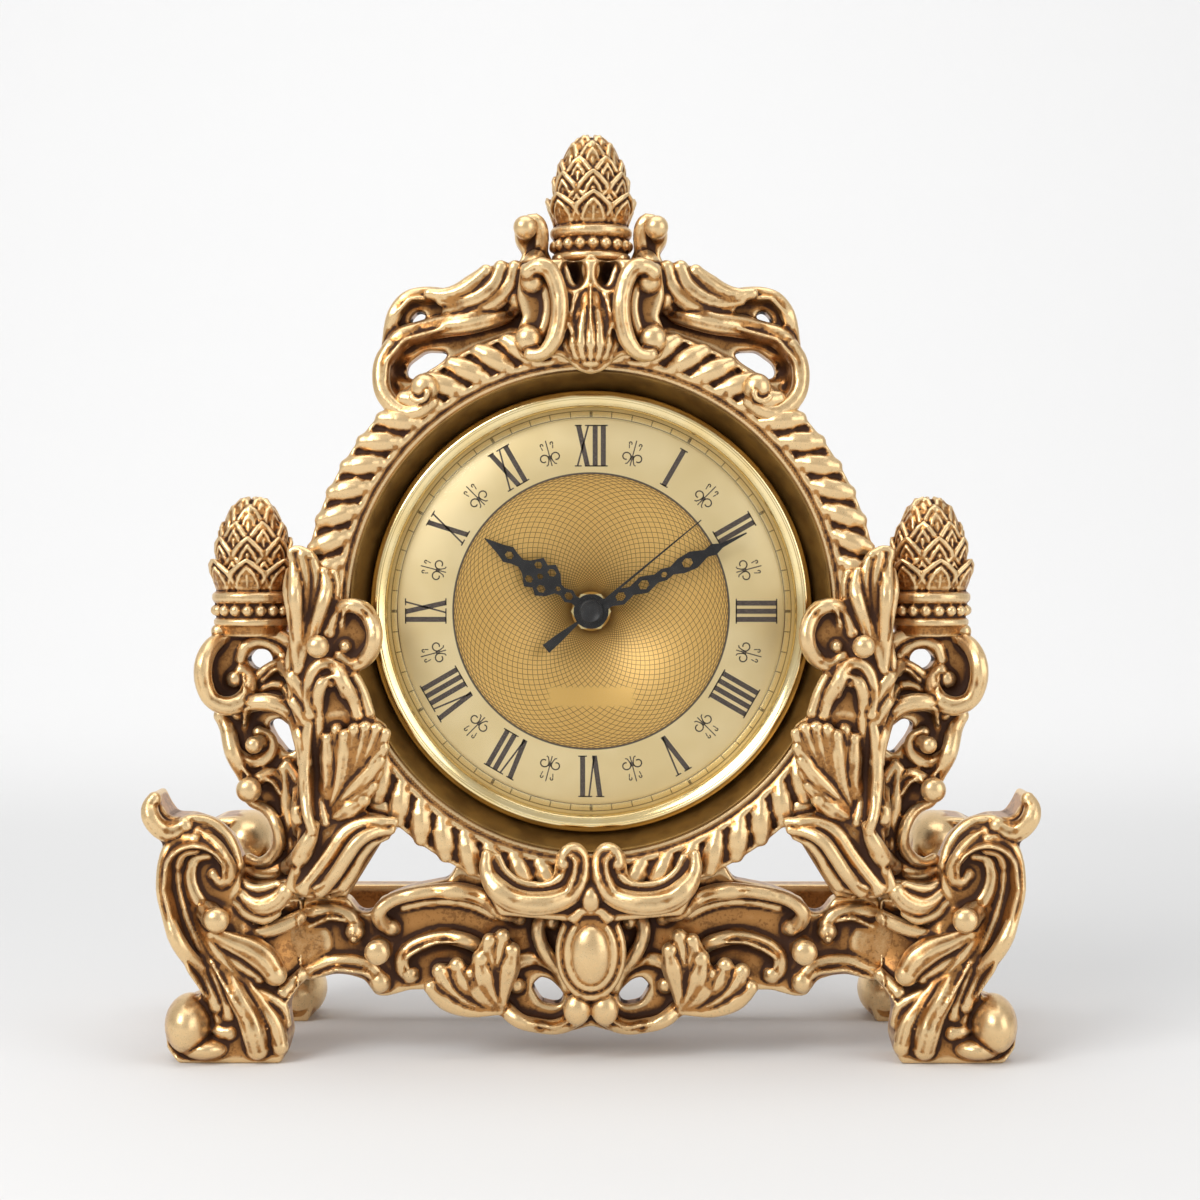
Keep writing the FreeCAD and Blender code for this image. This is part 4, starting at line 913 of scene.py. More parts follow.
# %% Leg leaves and casting
def leg_leaves(work):
    work.roll([(198, 905, 5), (207, 926, 7.5), (220, 948, 8.5), (236, 969, 8.5), (250, 987, 8),
               (264, 1005, 8), (276, 1024, 9), (282, 1044, 8.5)])
    work.roll([(216, 930, 6), (234, 939, 9), (252, 947, 11), (267, 958, 12), (277, 972, 9)],
               seat=(38, 37))
    work.roll([(222, 948, 5), (242, 962, 8), (260, 974, 7)])
    work.roll([(226, 965, 6), (238, 985, 8), (249, 1005, 9), (257, 1026, 10), (260, 1045, 9)], 0.1)
    work.roll([(250, 985, 4), (268, 995, 5), (284, 1006, 5), (288, 1022, 5)])
    work.roll([(250, 934, 4.5), (266, 931, 6), (282, 926, 6.5), (299, 918, 7)], seat=(35, 31))
    work.roll([(284, 992, 6), (292, 984, 7), (301, 976, 7)], seat=(34, 31))
    work.ball(at(190, 1023, 33), (24 * STEP, 11 * MM, 30 * STEP))
    work.ball(at(207, 1046, 31), (28 * STEP, 10 * MM, 14 * STEP))
    work.roll([(203, 998, 5), (210, 1008, 5.5), (210, 1019, 5), (218, 1028, 5), (232, 1030, 6)])
    work.roll([(238, 887, 6), (252, 900, 8), (266, 903, 11), (279, 898, 12), (288, 889, 8)],
               seat=(35, 38))
    work.roll([(240, 880, 4), (254, 887, 4.5), (268, 886, 5), (280, 882, 4)], seat=(34, 37))
    work.roll([(236, 900, 4), (250, 912, 5), (266, 917, 5), (278, 911, 4)], seat=(36, 36))


leg_leaves(leg)
leg_left = cast("front_leg_left_casting", "front_leg_left", leg)
mirror_image(leg_left, "front_leg_right_casting", "front_leg_right")

# %% [markdown]
# The apron joins the legs: two framed panels, leaf sprays, a pair of smiling scrolls over the
# ring's foot, and an oval cartouche in the middle.

# %% Apron panels
def apron_panels(work):
    work.roll([(243, 931, 4.5), (260, 931, 6), (277, 927, 6.5), (293, 920, 7), (312, 915, 7),
               (334, 914, 7), (347, 919, 7), (354, 929, 7)])
    work.bead(353, 934, 9.5, rise=8)
    work.roll([(284, 990, 5), (300, 977, 6.5), (320, 968, 7), (337, 965, 7), (353, 966, 7),
               (367, 971, 7), (377, 981, 7)])
    work.bead(378, 986, 10.5, rise=8)
    work.bead(378, 951, 13, rise=9)
    work.bead(303, 947, 27, rise=4, seat=work.front_at(318, 947))
    work.roll([(391, 931, 6), (381, 924, 7), (379, 912, 7.5), (389, 902, 7.5), (405, 896, 7.5),
               (427, 892, 7.5), (450, 891, 7.5), (470, 894, 7.5), (488, 901, 7), (503, 911, 6.5),
               (518, 921, 5)])
    work.bead(389, 930, 8.5, rise=8)
    work.roll([(402, 910, 3), (425, 905, 3.6), (450, 904, 3.6), (474, 909, 3.6), (494, 919, 3.2)])


apron = Carving("front_apron", both=True)
apron_panels(apron)
apron.tell("apron with its panels")

# %% [markdown]
# On each side a spray of two leaves stands between the panels and the cartouche. Both leaves
# open from one root, each on a swollen ground, within a frame of scrolls.

# %% Apron sprays
def apron_sprays(work):
    work.roll([(408, 980, 6), (401, 972, 6), (402, 960, 6.5), (412, 949, 6.5), (430, 942, 6.5),
               (449, 940, 6.5), (468, 944, 6.5), (480, 953, 6), (488, 964, 5)])
    work.bead(409, 978, 8, rise=7)
    work.ball(at(462, 985, 29), (34 * STEP, 3.6 * MM, 13 * STEP), tilted(28))
    work.leaf((500, 1012), [(431, 987, -0.14), (440, 971, -0.15), (457, 965, -0.13),
                            (472, 974, -0.09)], fill=0.60, seat=(31, 33.5))
    work.ball(at(497, 968, 29), (13 * STEP, 3.6 * MM, 36 * STEP), tilted(4))
    work.leaf((501, 1010), [(482, 958, -0.08), (490, 940, -0.08), (503, 935, -0.06),
                            (512, 950, -0.02)], fill=0.62, seat=(31, 34.5))
    work.roll([(517, 990, 6), (509, 983, 6), (512, 971, 6.5), (523, 964, 6.5), (539, 962, 6),
               (552, 967, 6), (562, 977, 5.5), (567, 991, 5)])
    work.bead(516, 989, 8, rise=7)
    work.roll([(497, 1004, 5.5), (509, 1015, 7), (525, 1024, 8), (544, 1029, 8), (563, 1028, 8),
               (576, 1020, 8)])
    work.bead(577, 1008, 14, tall=16, rise=11)
    work.roll([(551, 926, 6), (543, 921, 6), (538, 931, 6), (541, 946, 6), (550, 961, 6),
               (560, 976, 5.5), (566, 991, 5)])
    work.bead(551, 924, 8.5, rise=8)


apron_sprays(apron)
apron.tell("apron with its sprays")

# %% [markdown]
# A pair of scrolls smiles round the foot of the dial ring, and the cartouche hangs between
# them. Its frame is drawn as half an oval, and the carving repeats it on the other side.

# %% Smile, cartouche and casting
def apron_smile(work):
    work.roll([(488, 851, 5), (488, 866, 8), (497, 882, 9.5), (516, 895, 10), (543, 898, 10),
               (567, 892, 9), (580, 878, 8.5), (584, 859, 7.5), (577, 846, 7), (567, 848, 6.5),
               (563, 859, 5)], 0.25)
    work.roll([(500, 853, 3), (507, 868, 3.5), (522, 879, 4), (544, 882, 4), (560, 875, 3.5),
               (568, 864, 3)], 0.1)
    work.bead(564, 860, 7, rise=7)


def cartouche(work):
    """A double oval frame, a crown knob over it and a pair of balls below."""
    for wide, tall, fat in ((30, 43, 4.5), (23, 34, 3.2)):
        oval = [(MIDDLE_STEP + wide * math.sin(turn), 950 - tall * math.cos(turn), fat)
                for turn in [math.pi * step / 12 for step in range(13)]]
        work.roll(oval, seat=(36.5, 36.5) if wide > 25 else (38.6, 38.6))
    work.bead(591, 894, 10.5, tall=13.5, rise=10)
    work.roll([(591, 906, 5), (600, 907, 4.5), (608, 914, 4)])


apron_smile(apron)
cartouche(apron)
cast("apron_casting", "front_apron", apron, cell=0.58)

# %% [markdown]
# The rear rail and the side rails are plain castings, and the rear legs have only two globes
# each, on the shoulder and at the foot. All get the same melted skin and finish as the front,
# so that they look cast with the rest.

# %% Rear legs and rails
GLOBES = (((107, 28, 56.5), (8.4, 13.5, 8.4)), ((91, 29, 8.7), (7.8, 12.5, 8.6)))

for side, node in ((1, "rear_leg_left"), (-1, "rear_leg_right")):
    low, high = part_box(node)
    print(node, "box in mm:", [round(value / MM, 1) for value in (*low, *high)])
    work = Carving()
    for (across, back, up), radii in GLOBES:
        centre = Vector((-across * side * MM, back * MM, up * MM))
        work.ball(centre, [radius * MM for radius in radii])
    cast(node + "_casting", node, work, cell=0.7, passes=14)
for node in ("rear_rail", "side_rail_left", "side_rail_right"):
    cast(node + "_casting", node, Carving(), cell=0.8, passes=8)

# %% [markdown]
# A finial is a pine cone in a beaded cup. The cup and the cone's core are turned in one: a
# profile is spun about the upright axis, from a point on that axis to another one.

# %% Turning upright
def turned_upright(profile, segments, centre):
    """A closed turned shape about the vertical: (radius, height) pairs from bottom to top."""
    shape = bmesh.new()
    rows = [shape.verts.new((radius, 0, height)) for radius, height in profile]
    edges = [shape.edges.new(pair) for pair in zip(rows, rows[1:])]
    bmesh.ops.spin(shape, geom=rows + edges, cent=(0, 0, 0), axis=(0, 0, 1), angle=math.tau,
                   steps=segments, use_merge=True, use_normal_flip=False)
    bmesh.ops.remove_doubles(shape, verts=shape.verts, dist=0.01 * MM)
    bmesh.ops.recalc_face_normals(shape, faces=shape.faces)
    bmesh.ops.translate(shape, verts=shape.verts, vec=centre)
    return shape


print("upright turning ready")

# %% [markdown]
# Each scale is a pointed leaf with nested chevrons on it: a swollen middle, and rolls along both
# its edges that meet in a tip standing off the cone. The tiers overlap, and every second one is
# turned by half a scale.

# %% Scales of a cone
# Cone: (share of its height, radius in mm). Tiers: foot and tip shares, count, shift, half
# width and lean in mm. Scales: (share of their length, share of their half width, mm).
CONE_PROFILE = ((0.0, 9.4), (0.3, 8.8), (0.5, 8.2), (0.65, 7.3), (0.8, 5.5), (0.88, 4.3),
                (0.95, 2.8), (1.0, 0.0))
CONE_BASE = 11.86
SCALE_TIERS = ((0.00, 0.33, 7, 0.0, 4.8, 4.2), (0.04, 0.38, 7, 0.5, 4.0, 1.6),
               (0.20, 0.56, 7, 0.0, 4.2, 2.9), (0.36, 0.72, 7, 0.5, 3.7, 2.2),
               (0.52, 0.90, 6, 0.0, 3.4, 1.6), (0.72, 0.985, 5, 0.5, 2.6, 0.9))
SCALE_BODY = ((0.25, 0.86, 1.5), (0.5, 0.74, 1.35), (0.72, 0.46, 1.1))
SCALE_RIM = ((0.0, 0.95, -0.1), (0.3, 1.0, 0.1), (0.62, 0.72, 0.3), (0.86, 0.30, 0.2))
SCALE_INNER = ((0.0, 0.50), (0.3, 0.50), (0.56, 0.30), (0.76, 0.0))


class Cone:
    """The cone of one finial: its middle, its foot on the cup's rim, its height and its size."""

    def __init__(self, centre, foot, tip, size):
        self.centre, self.foot, self.height, self.size = centre, foot, tip - foot, size

    def radius(self, share):
        shares, radii = zip(*CONE_PROFILE)
        return float(np.interp(share, shares, radii)) * self.size * MM

    def spot(self, share, angle, aside=0.0, out=0.0):
        """A point on the cone, aside and outwards by millimetres."""
        radius = self.radius(share)
        angle += aside * self.size * MM / max(radius, 2.5 * MM)
        radius += out * self.size * MM
        return Vector((self.centre.x + radius * math.sin(angle),
                       self.centre.y - radius * math.cos(angle), self.foot + self.height * share))

    def scale(self, work, low, tip, angle, half, lean):
        """One pointed scale: a swollen leaf with a rim, an inner chevron and a vein."""
        span = tip - low
        unit = self.size * MM
        for along, wide, thick in SCALE_BODY:
            radii = (half * wide * unit, thick * unit, 0.3 * span * self.height)
            place = self.spot(low + span * along, angle, 0.0, lean * along - 0.5)
            work.ball(place, radii, Matrix.Rotation(angle, 4, "Z"))
        crown = self.spot(tip, angle, 0.0, lean)
        for side in (-1, 1):
            rim = [self.spot(low + span * along, angle, side * half * wide, lean * along + lift)
                   for along, wide, lift in SCALE_RIM]
            work.line([*rim, crown], [each * unit for each in (0.5, 0.74, 0.82, 0.74, 0.55)])
            inner = [self.spot(low + span * along, angle, side * half * wide, lean * along + 0.75)
                     for along, wide in SCALE_INNER]
            work.line(inner, [each * unit for each in (0.4, 0.46, 0.46, 0.4)])
        vein = [self.spot(low + span * along, angle, 0.0, lean * along + 0.9)
                for along in (0.0, 0.25, 0.5)]
        work.line(vein, [each * unit for each in (0.42, 0.42, 0.3)])


print("scales on a cone:", sum(count for _, _, count, _, _, _ in SCALE_TIERS))

# %% [markdown]
# The cup has a row of beads round its waist. The cone's size follows the cup's, and its height
# comes from the CAD node that the finial stands for. The three finials are turned a little
# differently, so that they don't look stamped.

# %% Finials
# Cup: (share of its radius, mm below its rim).
CUP_STEPS = 41.5
CUP_PROFILE = ((0.88, 10.2), (0.96, 9.3), (0.96, 8.2), (0.88, 7.4), (0.88, 3.6), (0.95, 3.1),
               (1.0, 2.2), (1.0, 0.9), (0.94, 0.1))
CUP_BEADS = 18
BEAD_RADIUS, BEAD_BELOW = 1.6, 5.4


def finial(name, node, rim_down, turn):
    low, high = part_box(node)
    cup = CUP_STEPS * STEP
    print(node, "half width", round((high.x - low.x) / 2 / MM, 2), "mm, cup", round(cup / MM, 2))
    centre = Vector(((low.x + high.x) / 2, (low.y + high.y) / 2, 0))
    foot = (TABLE_STEP - rim_down) * STEP
    cone = Cone(centre, foot, high.z, cup / MM / CONE_BASE)
    work = Carving()
    for base, tip, count, shift, half, lean in SCALE_TIERS:
        for number in range(count):
            cone.scale(work, base, tip, turn + math.tau * (number + shift) / count, half, lean)
    away = cup * 0.90
    for number in range(CUP_BEADS):
        angle = turn + math.tau * number / CUP_BEADS
        spot = Vector((centre.x + away * math.sin(angle), centre.y - away * math.cos(angle),
                       foot - BEAD_BELOW * MM))
        work.ball(spot, [BEAD_RADIUS * MM] * 3)
    rim = [(0, low.z), (cup * 0.80, low.z), (cup * 0.84, low.z + 1.5 * MM)]
    rim += [(cup * share, foot - below * MM) for share, below in CUP_PROFILE]
    core = [(cone.radius(share), foot + cone.height * share * 0.985) for share, _ in CONE_PROFILE]
    shape = turned_upright(rim + core, 48, Vector((centre.x, centre.y, 0)))
    cast(name, node, work, cell=0.36, passes=1, shape=shape)


finial("top_finial_cone", "top_finial", 226, 0.06)
finial("side_finial_left_cone", "side_finial_left", 592, 0.0)
finial("side_finial_right_cone", "side_finial_right", 592, 0.12)

# %% [markdown]
# The dial ring is a turned casting with a rope border. Sixty fat strands slant across it, with
# thin grooves between them, and they lean the other way on the other half. A raised lip
# closes it towards the dial.

# %% Dial ring
ROPE_RADIUS = 76.8
ROPE_LEAN = math.radians(40)
ROPE_FRONT = 35.6
STRANDS = 60
STRAND = ((-4.7, 2.4), (-2.4, 3.2), (0.0, 3.4), (2.4, 3.2), (4.7, 2.4))


def rope_border():
    work = Carving()
    for number in range(STRANDS):
        angle = math.radians(360 / STRANDS * number + 180 / STRANDS)
        lean = angle + ROPE_LEAN * (1 if number < STRANDS // 2 else -1)
        middle = Vector((math.sin(angle), 0, math.cos(angle))) * ROPE_RADIUS
        along = Vector((math.sin(lean), 0, math.cos(lean)))
        places = [(middle + along * away) * MM
                  + Vector((0, (2.1 - ROPE_FRONT - 0.35 * (fat - 1.7)) * MM, DIAL_CENTRE))
                  for away, fat in STRAND]
        work.line(places, [fat * MM for away, fat in STRAND])
    return work


def turned_facing(profile, segments=180):
    """A turned shape about the dial's axis: (radius, front) pairs in millimetres, closed."""
    shape = bmesh.new()
    rows = [shape.verts.new((0, -front * MM, radius * MM)) for radius, front in profile]
    edges = [shape.edges.new(pair) for pair in zip(rows, rows[1:] + rows[:1])]
    bmesh.ops.spin(shape, geom=rows + edges, cent=(0, 0, 0), axis=(0, 1, 0), angle=math.tau,
                   steps=segments, use_merge=True)
    bmesh.ops.remove_doubles(shape, verts=shape.verts, dist=0.01 * MM)
    bmesh.ops.recalc_face_normals(shape, faces=shape.faces)
    bmesh.ops.translate(shape, verts=shape.verts, vec=(0, 0, DIAL_CENTRE))
    return shape


ring_profile = [(64.2, 18), (82.1, 18), (82.1, 33.4), (81.7, 34.8), (81.0, 34.6), (80.4, 32.8),
                (73.6, 32.8), (72.9, 34.4), (72.2, 35.4), (71.4, 35.4), (70.6, 34.6), (68.8, 34.6),
                (68.2, 33.8), (67.4, 31.6), (64.2, 24.8)]
cast("dial_ring_casting", "dial_ring", rope_border(), cell=0.66, passes=1,
     shape=turned_facing(ring_profile))

# %% [markdown]
# Inside the lip lies a smooth cove, painted darker and hardly worn. It is turned on its own, so
# that it stays as true as the brass bezel beside it.

# %% Cove
def finished(name, shape, material, body, slot, *replaced):
    mesh = bpy.data.meshes.new(name)
    shape.to_mesh(mesh)
    shape.free()
    return show(name, mesh, material, body, slot, *replaced)


cove_profile = [(63.42, 24.4), (63.6, 25.3), (64.4, 26.6), (65.6, 28.9), (66.8, 31.6), (67.6, 34.0),
                (67.95, 35.0), (68.3, 35.1), (68.5, 34.7), (68.3, 31.0), (66.0, 24.4)]
olive_bronze = two_tone("olive_bronze", (142, 108, 54), (112, 82, 38), (120, 3, 0.5),
                        (1500, 2, 0.6), (0.38, 0.12), metal=0.7, depth=0.00005, strength=0.4)
finished("dial_ring_cove", turned_facing(cove_profile), olive_bronze, "clock", "gilt_resin")
print("cove turned")

# %% [markdown]
# The bezel is spun brass, polished and lacquered. It has a broad outer bevel, a fine groove and
# a second bevel that falls towards the glass. A faint smear keeps its mirror from being perfect.

# %% Bezel
def polished_brass():
    finish = Finish("polished_brass")
    smear = finish.noise(90, 3, 0.5)
    fine = finish.noise(900, 2, 0.5)
    colour = finish.mix(smear.between(0.3, 0.75), srgb(255, 234, 180), srgb(250, 222, 158))
    return finish.surface(Base_Color=colour, Metallic=1.0, Roughness=0.15 + (smear - 0.5) * 0.08,
                          Normal=finish.bump(fine, 0.00002, 0.15))


brass_bright = polished_brass()
bezel_profile = [(58.6, 18.4), (63.35, 18.4), (63.35, 27.6), (63.2, 28.6), (62.6, 29.3),
                 (61.4, 29.95), (61.05, 29.9), (60.95, 29.5), (60.85, 29.6), (60.6, 29.5),
                 (59.2, 28.7), (58.7, 28.2), (58.6, 27.8)]
finished("bezel_spinning", turned_facing(bezel_profile, 200), brass_bright, "clock", "brass",
         "bezel")
print("bezel spun")

# %% [markdown]
# The lens is a thin pressing of clear glass with a raised middle. Light passes straight through
# it and only a slight gloss shows, strongest on its curved shoulder, as on the real one.

# %% Lens
def clear_glass():
    finish = Finish("clear_glass")
    dust = finish.noise(400, 3, 0.6)
    edge = finish.node("Fresnel", None, {"IOR": 1.45})
    gloss = finish.node("BsdfGlossy", None, {"Color": (1, 1, 1), "Roughness": 0.03 + dust * 0.02})
    through = finish.node("BsdfTransparent", None, {"Color": (0.99, 0.995, 0.99)})
    both = finish.node("MixShader", None, {0: (edge - 0.03) * 0.28, 1: through, 2: gloss})
    finish.node("OutputMaterial", None, {"Surface": both})
    return finish.material


lens_profile = [(60.15, 24.45), (60.15, 26.2), (58.55, 27.4), (57.9, 29.0), (56.4, 31.0),
                (54.4, 32.2), (51.8, 32.8), (0.0, 32.8), (0.0, 31.6), (51.2, 31.6), (53.6, 31.0),
                (55.2, 30.0), (56.6, 28.2), (57.4, 26.0), (58.0, 24.45)]
finished("lens_pressing", turned_facing(lens_profile, 160), clear_glass(), "clock", "lens", "lens")
print("lens pressed")

# %% [markdown]
# The dial is a printed sheet. Its net of lines is a rosette of seventy-two circles round the
# middle: for any point, the nearest circle's middle is found from the point's own radius and
# angle, so the lines stay sharp however near one looks. A small plain field lies below
# the middle. The tracks and rings are drawn in the same way.

# %% Dial sheet
CIRCLES = 72
CIRCLE_AWAY = 17.06
CIRCLE_RADIUS = 22.77
NET_EDGE = 39.8
TRACK_INNER, TRACK_OUTER = 55.9, 57.7
BARE_BELOW = 24.7
INK = srgb(70, 60, 56)


def dial_print():
    finish = Finish("dial_print")
    across = finish.axis(0) * 1000
    height = (finish.axis(2) - DIAL_CENTRE) * 1000
    radius = (across * across + height * height) ** 0.5
    angle = across.math("ARCTAN2", height)

    def stroke(distance, half):
        return distance.between(half + 0.05, half - 0.05)

    def spoke(count):
        """Distance in millimetres from the nearest of evenly spaced spokes."""
        turn = angle * (count / math.tau)
        off = turn - turn.math("ROUND")
        return off.math("ABSOLUTE") * (math.tau / count) * radius

    spread = radius * radius + CIRCLE_AWAY ** 2 - CIRCLE_RADIUS ** 2
    spread = spread / (radius * (2 * CIRCLE_AWAY))
    spread = spread.math("MINIMUM", 1.0).math("MAXIMUM", -1.0).math("ARCCOSINE")
    net = None
    for side in (1, -1):
        turn = ((angle + spread * side) * (CIRCLES / math.tau)).math("ROUND") * (math.tau / CIRCLES)
        aside = (angle - turn).math("COSINE")
        gone = (radius * radius + CIRCLE_AWAY ** 2 - radius * aside * (2 * CIRCLE_AWAY)) ** 0.5
        line = stroke((gone - CIRCLE_RADIUS).math("ABSOLUTE"), 0.08)
        net = line if net is None else net.math("MAXIMUM", line)
    inside = radius.between(NET_EDGE + 0.1, NET_EDGE - 0.1)
    beside = across.math("ABSOLUTE").between(13.4, 11.2)
    bare = beside * (height + BARE_BELOW).math("ABSOLUTE").between(3.4, 2.2)
    net = net * inside * (1 - bare)
    ring = stroke((radius - NET_EDGE).math("ABSOLUTE"), 0.26)
    rails = stroke((radius - TRACK_INNER).math("ABSOLUTE"), 0.14).math(
        "MAXIMUM", stroke((radius - TRACK_OUTER).math("ABSOLUTE"), 0.14))
    track = (radius - TRACK_INNER).between(-0.05, 0.05)
    track = track * (TRACK_OUTER - radius).between(-0.05, 0.05)
    ticks = stroke(spoke(60), 0.16).math("MAXIMUM", stroke(spoke(12), 0.42)) * track
    print_share = ring.math("MAXIMUM", rails).math("MAXIMUM", ticks)
    satin = finish.noise(60, 2, 0.5)
    fine = finish.noise(1800, 2, 0.6)
    # painted sheen: the amber is shifted between its two tones in four lobes round the middle, more
    # towards the net's edge
    painted_sheen = ((angle * 4).math("COSINE") * 0.5 + 0.5) * (radius / NET_EDGE).math("MINIMUM", 1.0)
    chapter = finish.mix(satin.between(0.3, 0.7), srgb(236, 214, 166), srgb(226, 202, 150))
    amber = finish.mix(painted_sheen * 0.5 + satin * 0.3, srgb(226, 184, 108), srgb(206, 162, 86))
    colour = finish.mix(inside, chapter, amber)
    colour = finish.mix(net * 0.85, colour, srgb(92, 62, 34))
    colour = finish.mix(print_share * 0.92, colour, INK)
    return finish.surface(Base_Color=colour, Metallic=0.35 - print_share * 0.3,
                          Roughness=0.42 + (fine - 0.5) * 0.08,
                          Normal=finish.bump(fine, 0.00002, 0.2))


dial_profile = [(3.9, 23.6), (60.25, 23.6), (60.25, 24.35), (60.2, 24.4), (3.9, 24.4)]
finished("dial_sheet", turned_facing(dial_profile, 160), dial_print(), "clock", "dial_gold",
         "dial_plate")
print("dial printed")

# %% [markdown]
# Numerals and ornaments are printed in ink. They are cut as flat shapes, a few hundredths of a
# millimetre in front of the sheet, so that their edges stay crisp. Each shape is drawn upright,
# and Print turns it to its place round the dial.

# %% Flat shapes on the dial
SERIF = 0.36
NUMERAL_HALF = 6.0
INK_FRONT = 24.43


class Print:
    """Flat shapes on the dial, each drawn in its own turned place."""

    def __init__(self):
        self.shape = bmesh.new()
        self.turn = 0.0
        self.middle = 0.0

    def spot(self, across, up):
        radius, sine, cosine = self.middle + up, math.sin(self.turn), math.cos(self.turn)
        return Vector(((radius * sine + across * cosine) * MM, -INK_FRONT * MM,
                       DIAL_CENTRE + (radius * cosine - across * sine) * MM))

    def face(self, corners):
        self.shape.faces.new([self.shape.verts.new(self.spot(*corner)) for corner in corners])

    def bar(self, left_foot, left_head, wide):
        half = NUMERAL_HALF
        self.face([(left_foot, -half), (left_foot + wide, -half), (left_head + wide, half),
                   (left_head, half)])

    def serif(self, middle, wide, head):
        low = NUMERAL_HALF - SERIF if head else -NUMERAL_HALF
        left, right = middle - wide / 2, middle + wide / 2
        self.face([(left, low), (right, low), (right, low + SERIF), (left, low + SERIF)])

    def ribbon(self, points, wide):
        """A thin stroke through points."""
        places = [Vector(point) for point in points]
        for near, far in zip(places, places[1:]):
            ahead = (far - near).normalized()
            side = Vector((-ahead.y, ahead.x)) * wide / 2
            near, far = near - ahead * wide * 0.2, far + ahead * wide * 0.2
            self.face([near + side, near - side, far - side, far + side])


ink = Print()
print("ink lies", INK_FRONT, "mm in front of the clock's middle")

# %% [markdown]
# The numerals are plain roman ones, all with their feet towards the middle. Each letter is made
# of bars: fat stems, hair lines, and thin serifs at head and foot.

# %% Numerals
STEM, HAIR = 1.45, 0.5
NUMERAL_MIDDLE = 47.7
GLYPH_WIDTHS = {"I": 2.35, "V": 4.9, "X": 4.7}
NUMERALS = ("XII", "I", "II", "III", "IIII", "V", "VI", "VII", "VIII", "IX", "X", "XI")


def glyph(work, letter, left):
    wide = GLYPH_WIDTHS[letter]
    middle = left + wide / 2
    if letter == "I":
        work.bar(middle - STEM / 2, middle - STEM / 2, STEM)
        work.serif(middle, 2.5, True)
        work.serif(middle, 2.5, False)
    if letter == "V":
        work.bar(middle - 0.5, left + 0.3, STEM)
        work.bar(middle + 0.05, left + wide - 0.9, HAIR)
        work.serif(left + 1.0, 2.4, True)
        work.serif(left + wide - 0.7, 1.8, True)
    if letter == "X":
        work.bar(left + wide - STEM - 0.3, left + 0.3, STEM)
        work.bar(left + 0.5, left + wide - 1.0, HAIR)
        for spot in (left + 1.0, left + wide - 0.8):
            work.serif(spot, 2.0, True)
            work.serif(spot, 2.0, False)


def numerals(work):
    work.middle = NUMERAL_MIDDLE
    for hour, word in enumerate(NUMERALS):
        work.turn = math.tau * hour / 12
        left = -sum(GLYPH_WIDTHS[letter] for letter in word) / 2
        for letter in word:
            glyph(work, letter, left)
            left += GLYPH_WIDTHS[letter]


numerals(ink)
print("numerals:", len(ink.shape.faces), "bars and serifs")

# %% [markdown]
# A small ornament stands between each two numerals: a stem with a pair of large curls below and
# a pair of small ones above. A curl is a ribbon of short flat strokes.

# %% Ornaments and ink
def curl(middle, up, radius, start, stop, side, count=14):
    """Points of a curl that closes up towards its end."""
    points = []
    for step in range(count + 1):
        share = step / count
        turn = math.radians(start + (stop - start) * share)
        reach = radius * (1 - 0.45 * share)
        points.append((side * (middle + reach * math.cos(turn)), up + reach * math.sin(turn)))
    return points


def ornaments(work):
    work.middle = 46.6
    for hour in range(12):
        work.turn = math.tau * (hour + 0.5) / 12
        for side in (-1, 1):
            work.ribbon(curl(1.75, -0.9, 1.45, 200, -110, side), 0.36)
            work.ribbon([(side * 0.3, -0.3), (side * 0.5, -1.6), (side * 1.0, -2.7),
                         (side * 1.5, -2.9)], 0.32)
            work.ribbon(curl(1.55, 3.1, 0.5, 210, -60, side, 8), 0.3)
            work.ribbon([(side * 1.75, 2.6), (side * 1.5, 1.7)], 0.28)
        work.ribbon([(0, -3.2), (0, 4.2)], 0.32)


def printing_ink():
    finish = Finish("printing_ink")
    grain = finish.noise(3000, 2, 0.6)
    colour = finish.mix(grain.between(0.4, 0.75), INK, srgb(104, 90, 80))
    return finish.surface(Base_Color=colour, Roughness=0.5 + (grain - 0.5) * 0.1,
                          Normal=finish.bump(grain, 0.00001, 0.1))


ornaments(ink)
bmesh.ops.recalc_face_normals(ink.shape, faces=ink.shape.faces)
turned_back = [face for face in ink.shape.faces if face.normal.y > 0]
bmesh.ops.reverse_faces(ink.shape, faces=turned_back)
finished("dial_numerals", ink.shape, printing_ink(), "clock", "dial_gold")
print("numerals and ornaments cut")

# %% [markdown]
# The hands are stamped steel with a satin black paint. The cap on the second hand's arbor is a
# small turned disc in the same paint. The nut under them is plain brass.

# %% Hands
def dress(node, material):
    """Give a measured node its finish as it stands."""
    nodes[node].data.materials.clear()
    nodes[node].data.materials.append(material)


black_paint = two_tone("satin_black", (36, 34, 35), (48, 46, 47), (200, 2, 0.5), (1600, 3, 0.6),
                       (0.38, 0.14), metal=0.2, depth=0.00003, strength=0.3)
for node in ("hour_hand", "minute_hand", "second_hand"):
    dress(node, black_paint)
dress("dial_nut", brass_bright)
cap_profile = [(0.0, 28.5), (3.45, 28.5), (3.45, 29.1), (3.2, 29.42), (2.75, 29.5), (2.6, 29.35),
               (0.0, 29.35)]
finished("second_hand_cap", turned_facing(cap_profile, 48), black_paint, "second", "black_metal")
print("hands painted")

# %% [markdown]
# The cartouche holds an oval cabochon, cast with the rest and gilt, and rubbed bright.

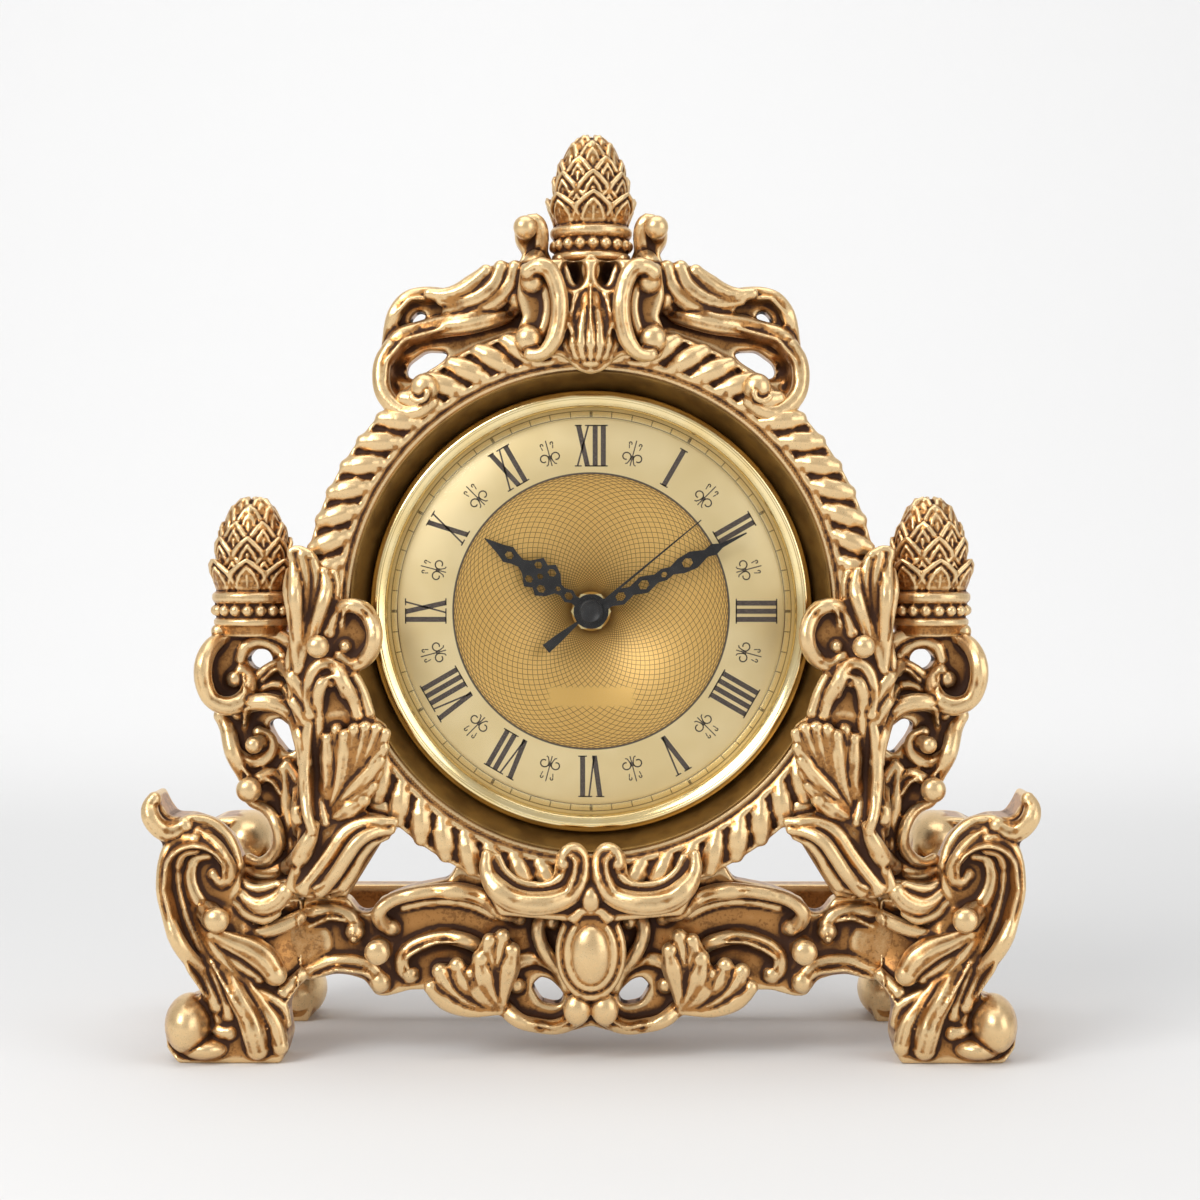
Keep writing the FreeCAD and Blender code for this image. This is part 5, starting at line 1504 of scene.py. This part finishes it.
# %% Cabochon
low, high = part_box("cartouche_cabochon")
cabochon = bmesh.new()
spread = Matrix.Translation((0, high.y, (low.z + high.z) / 2)) @ Matrix.Diagonal(
    ((high.x - low.x) / 2, high.y - low.y, (high.z - low.z) / 2, 1))
bmesh.ops.create_uvsphere(cabochon, u_segments=48, v_segments=32, radius=1.0, matrix=spread)
bmesh.ops.bisect_plane(cabochon, geom=cabochon.verts[:] + cabochon.edges[:] + cabochon.faces[:],
                       plane_co=(0, high.y, 0), plane_no=(0, 1, 0), clear_outer=True)
bmesh.ops.holes_fill(cabochon, edges=cabochon.edges)
finished("cartouche_cabochon_dome", cabochon, gilt, "clock", "gilt_resin", "cartouche_cabochon")
print("cabochon set")

# %% [markdown]
# Behind the ring sits a drum of painted sheet metal, closed by a plastic cover with a square
# window. The movement's case, its knob and the battery show through that window.

# %% Drum, cover and movement
def moulded(name, colour, other, scale, rough, metal=0.0, depth=0.00004):
    """A moulded or painted finish with a fine grain."""
    return two_tone(name, colour, other, (scale / 12, 2, 0.5), (scale, 3, 0.6), (rough, 0.16),
                    metal, depth)


MOULDED = (
    (("rear_cover_screws", "motor_stator", "battery_contact_positive", "battery_contact_negative"),
     moulded("bright_zinc", (176, 176, 172), (156, 156, 154), 700, 0.32, 0.9)),
    (("movement_front_case", "movement_back_case", "set_knob"),
     moulded("case_black", (34, 34, 35), (42, 42, 43), 1400, 0.55)),
    (("drum",), moulded("drum_paint", (84, 68, 52), (72, 58, 44), 900, 0.42, 0.45)),
    (("rear_cover",), moulded("cover_black", (32, 32, 33), (40, 40, 41), 1100, 0.62, 0.0, 0.00008)),
    (("hour_wheel", "cannon_pinion", "second_wheel", "setting_wheel"),
     moulded("white_plastic", (224, 222, 210), (214, 212, 198), 800, 0.45)),
    (("circuit_board",), moulded("green_lacquer", (30, 92, 52), (24, 78, 44), 600, 0.35)),
)
for group, finish in MOULDED:
    for node in group:
        dress(node, finish)
print("plain finishes on", sum(len(group) for group, _ in MOULDED), "nodes")

# %% [markdown]
# The battery has a film jacket with a copper band at the button's end, and the motor's coil is
# wound with fine enamelled wire. Both patterns run along the piece, so they are read off one of
# its own coordinates.

# %% Battery and coil
def battery_jacket():
    """A film jacket, dark with a copper band at the button's end."""
    finish = Finish("battery_jacket")
    across = finish.axis(0) * 1000
    grain = finish.noise(900, 2, 0.6)
    band = across.between(10.0, 10.3)
    metal = across.between(24.2, 24.4).math("MAXIMUM", across.between(-24.2, -24.5))
    colour = finish.mix(band, srgb(38, 38, 42), srgb(186, 118, 62))
    colour = finish.mix(metal, colour, srgb(196, 196, 192))
    return finish.surface(Base_Color=colour, Roughness=0.28 + (grain - 0.5) * 0.1,
                          Metallic=0.3 + metal * 0.6, Normal=finish.bump(grain, 0.00001, 0.2))


def wound_copper():
    """Fine enamelled wire, wound along the coil."""
    finish = Finish("wound_copper")
    turns = (finish.axis(0) * 26000).math("SINE")
    cloud = finish.noise(300, 2, 0.5)
    colour = finish.mix(cloud.between(0.3, 0.7), srgb(176, 98, 52), srgb(150, 78, 40))
    return finish.surface(Base_Color=colour, Roughness=0.35 + turns * 0.05, Metallic=0.8,
                          Normal=finish.bump(turns, 0.00004, 0.6))


dress("motor_coil", wound_copper())
dress("battery", battery_jacket())
print("battery and coil dressed")

# %% Bring the scene up to date
bpy.context.view_layer.update()
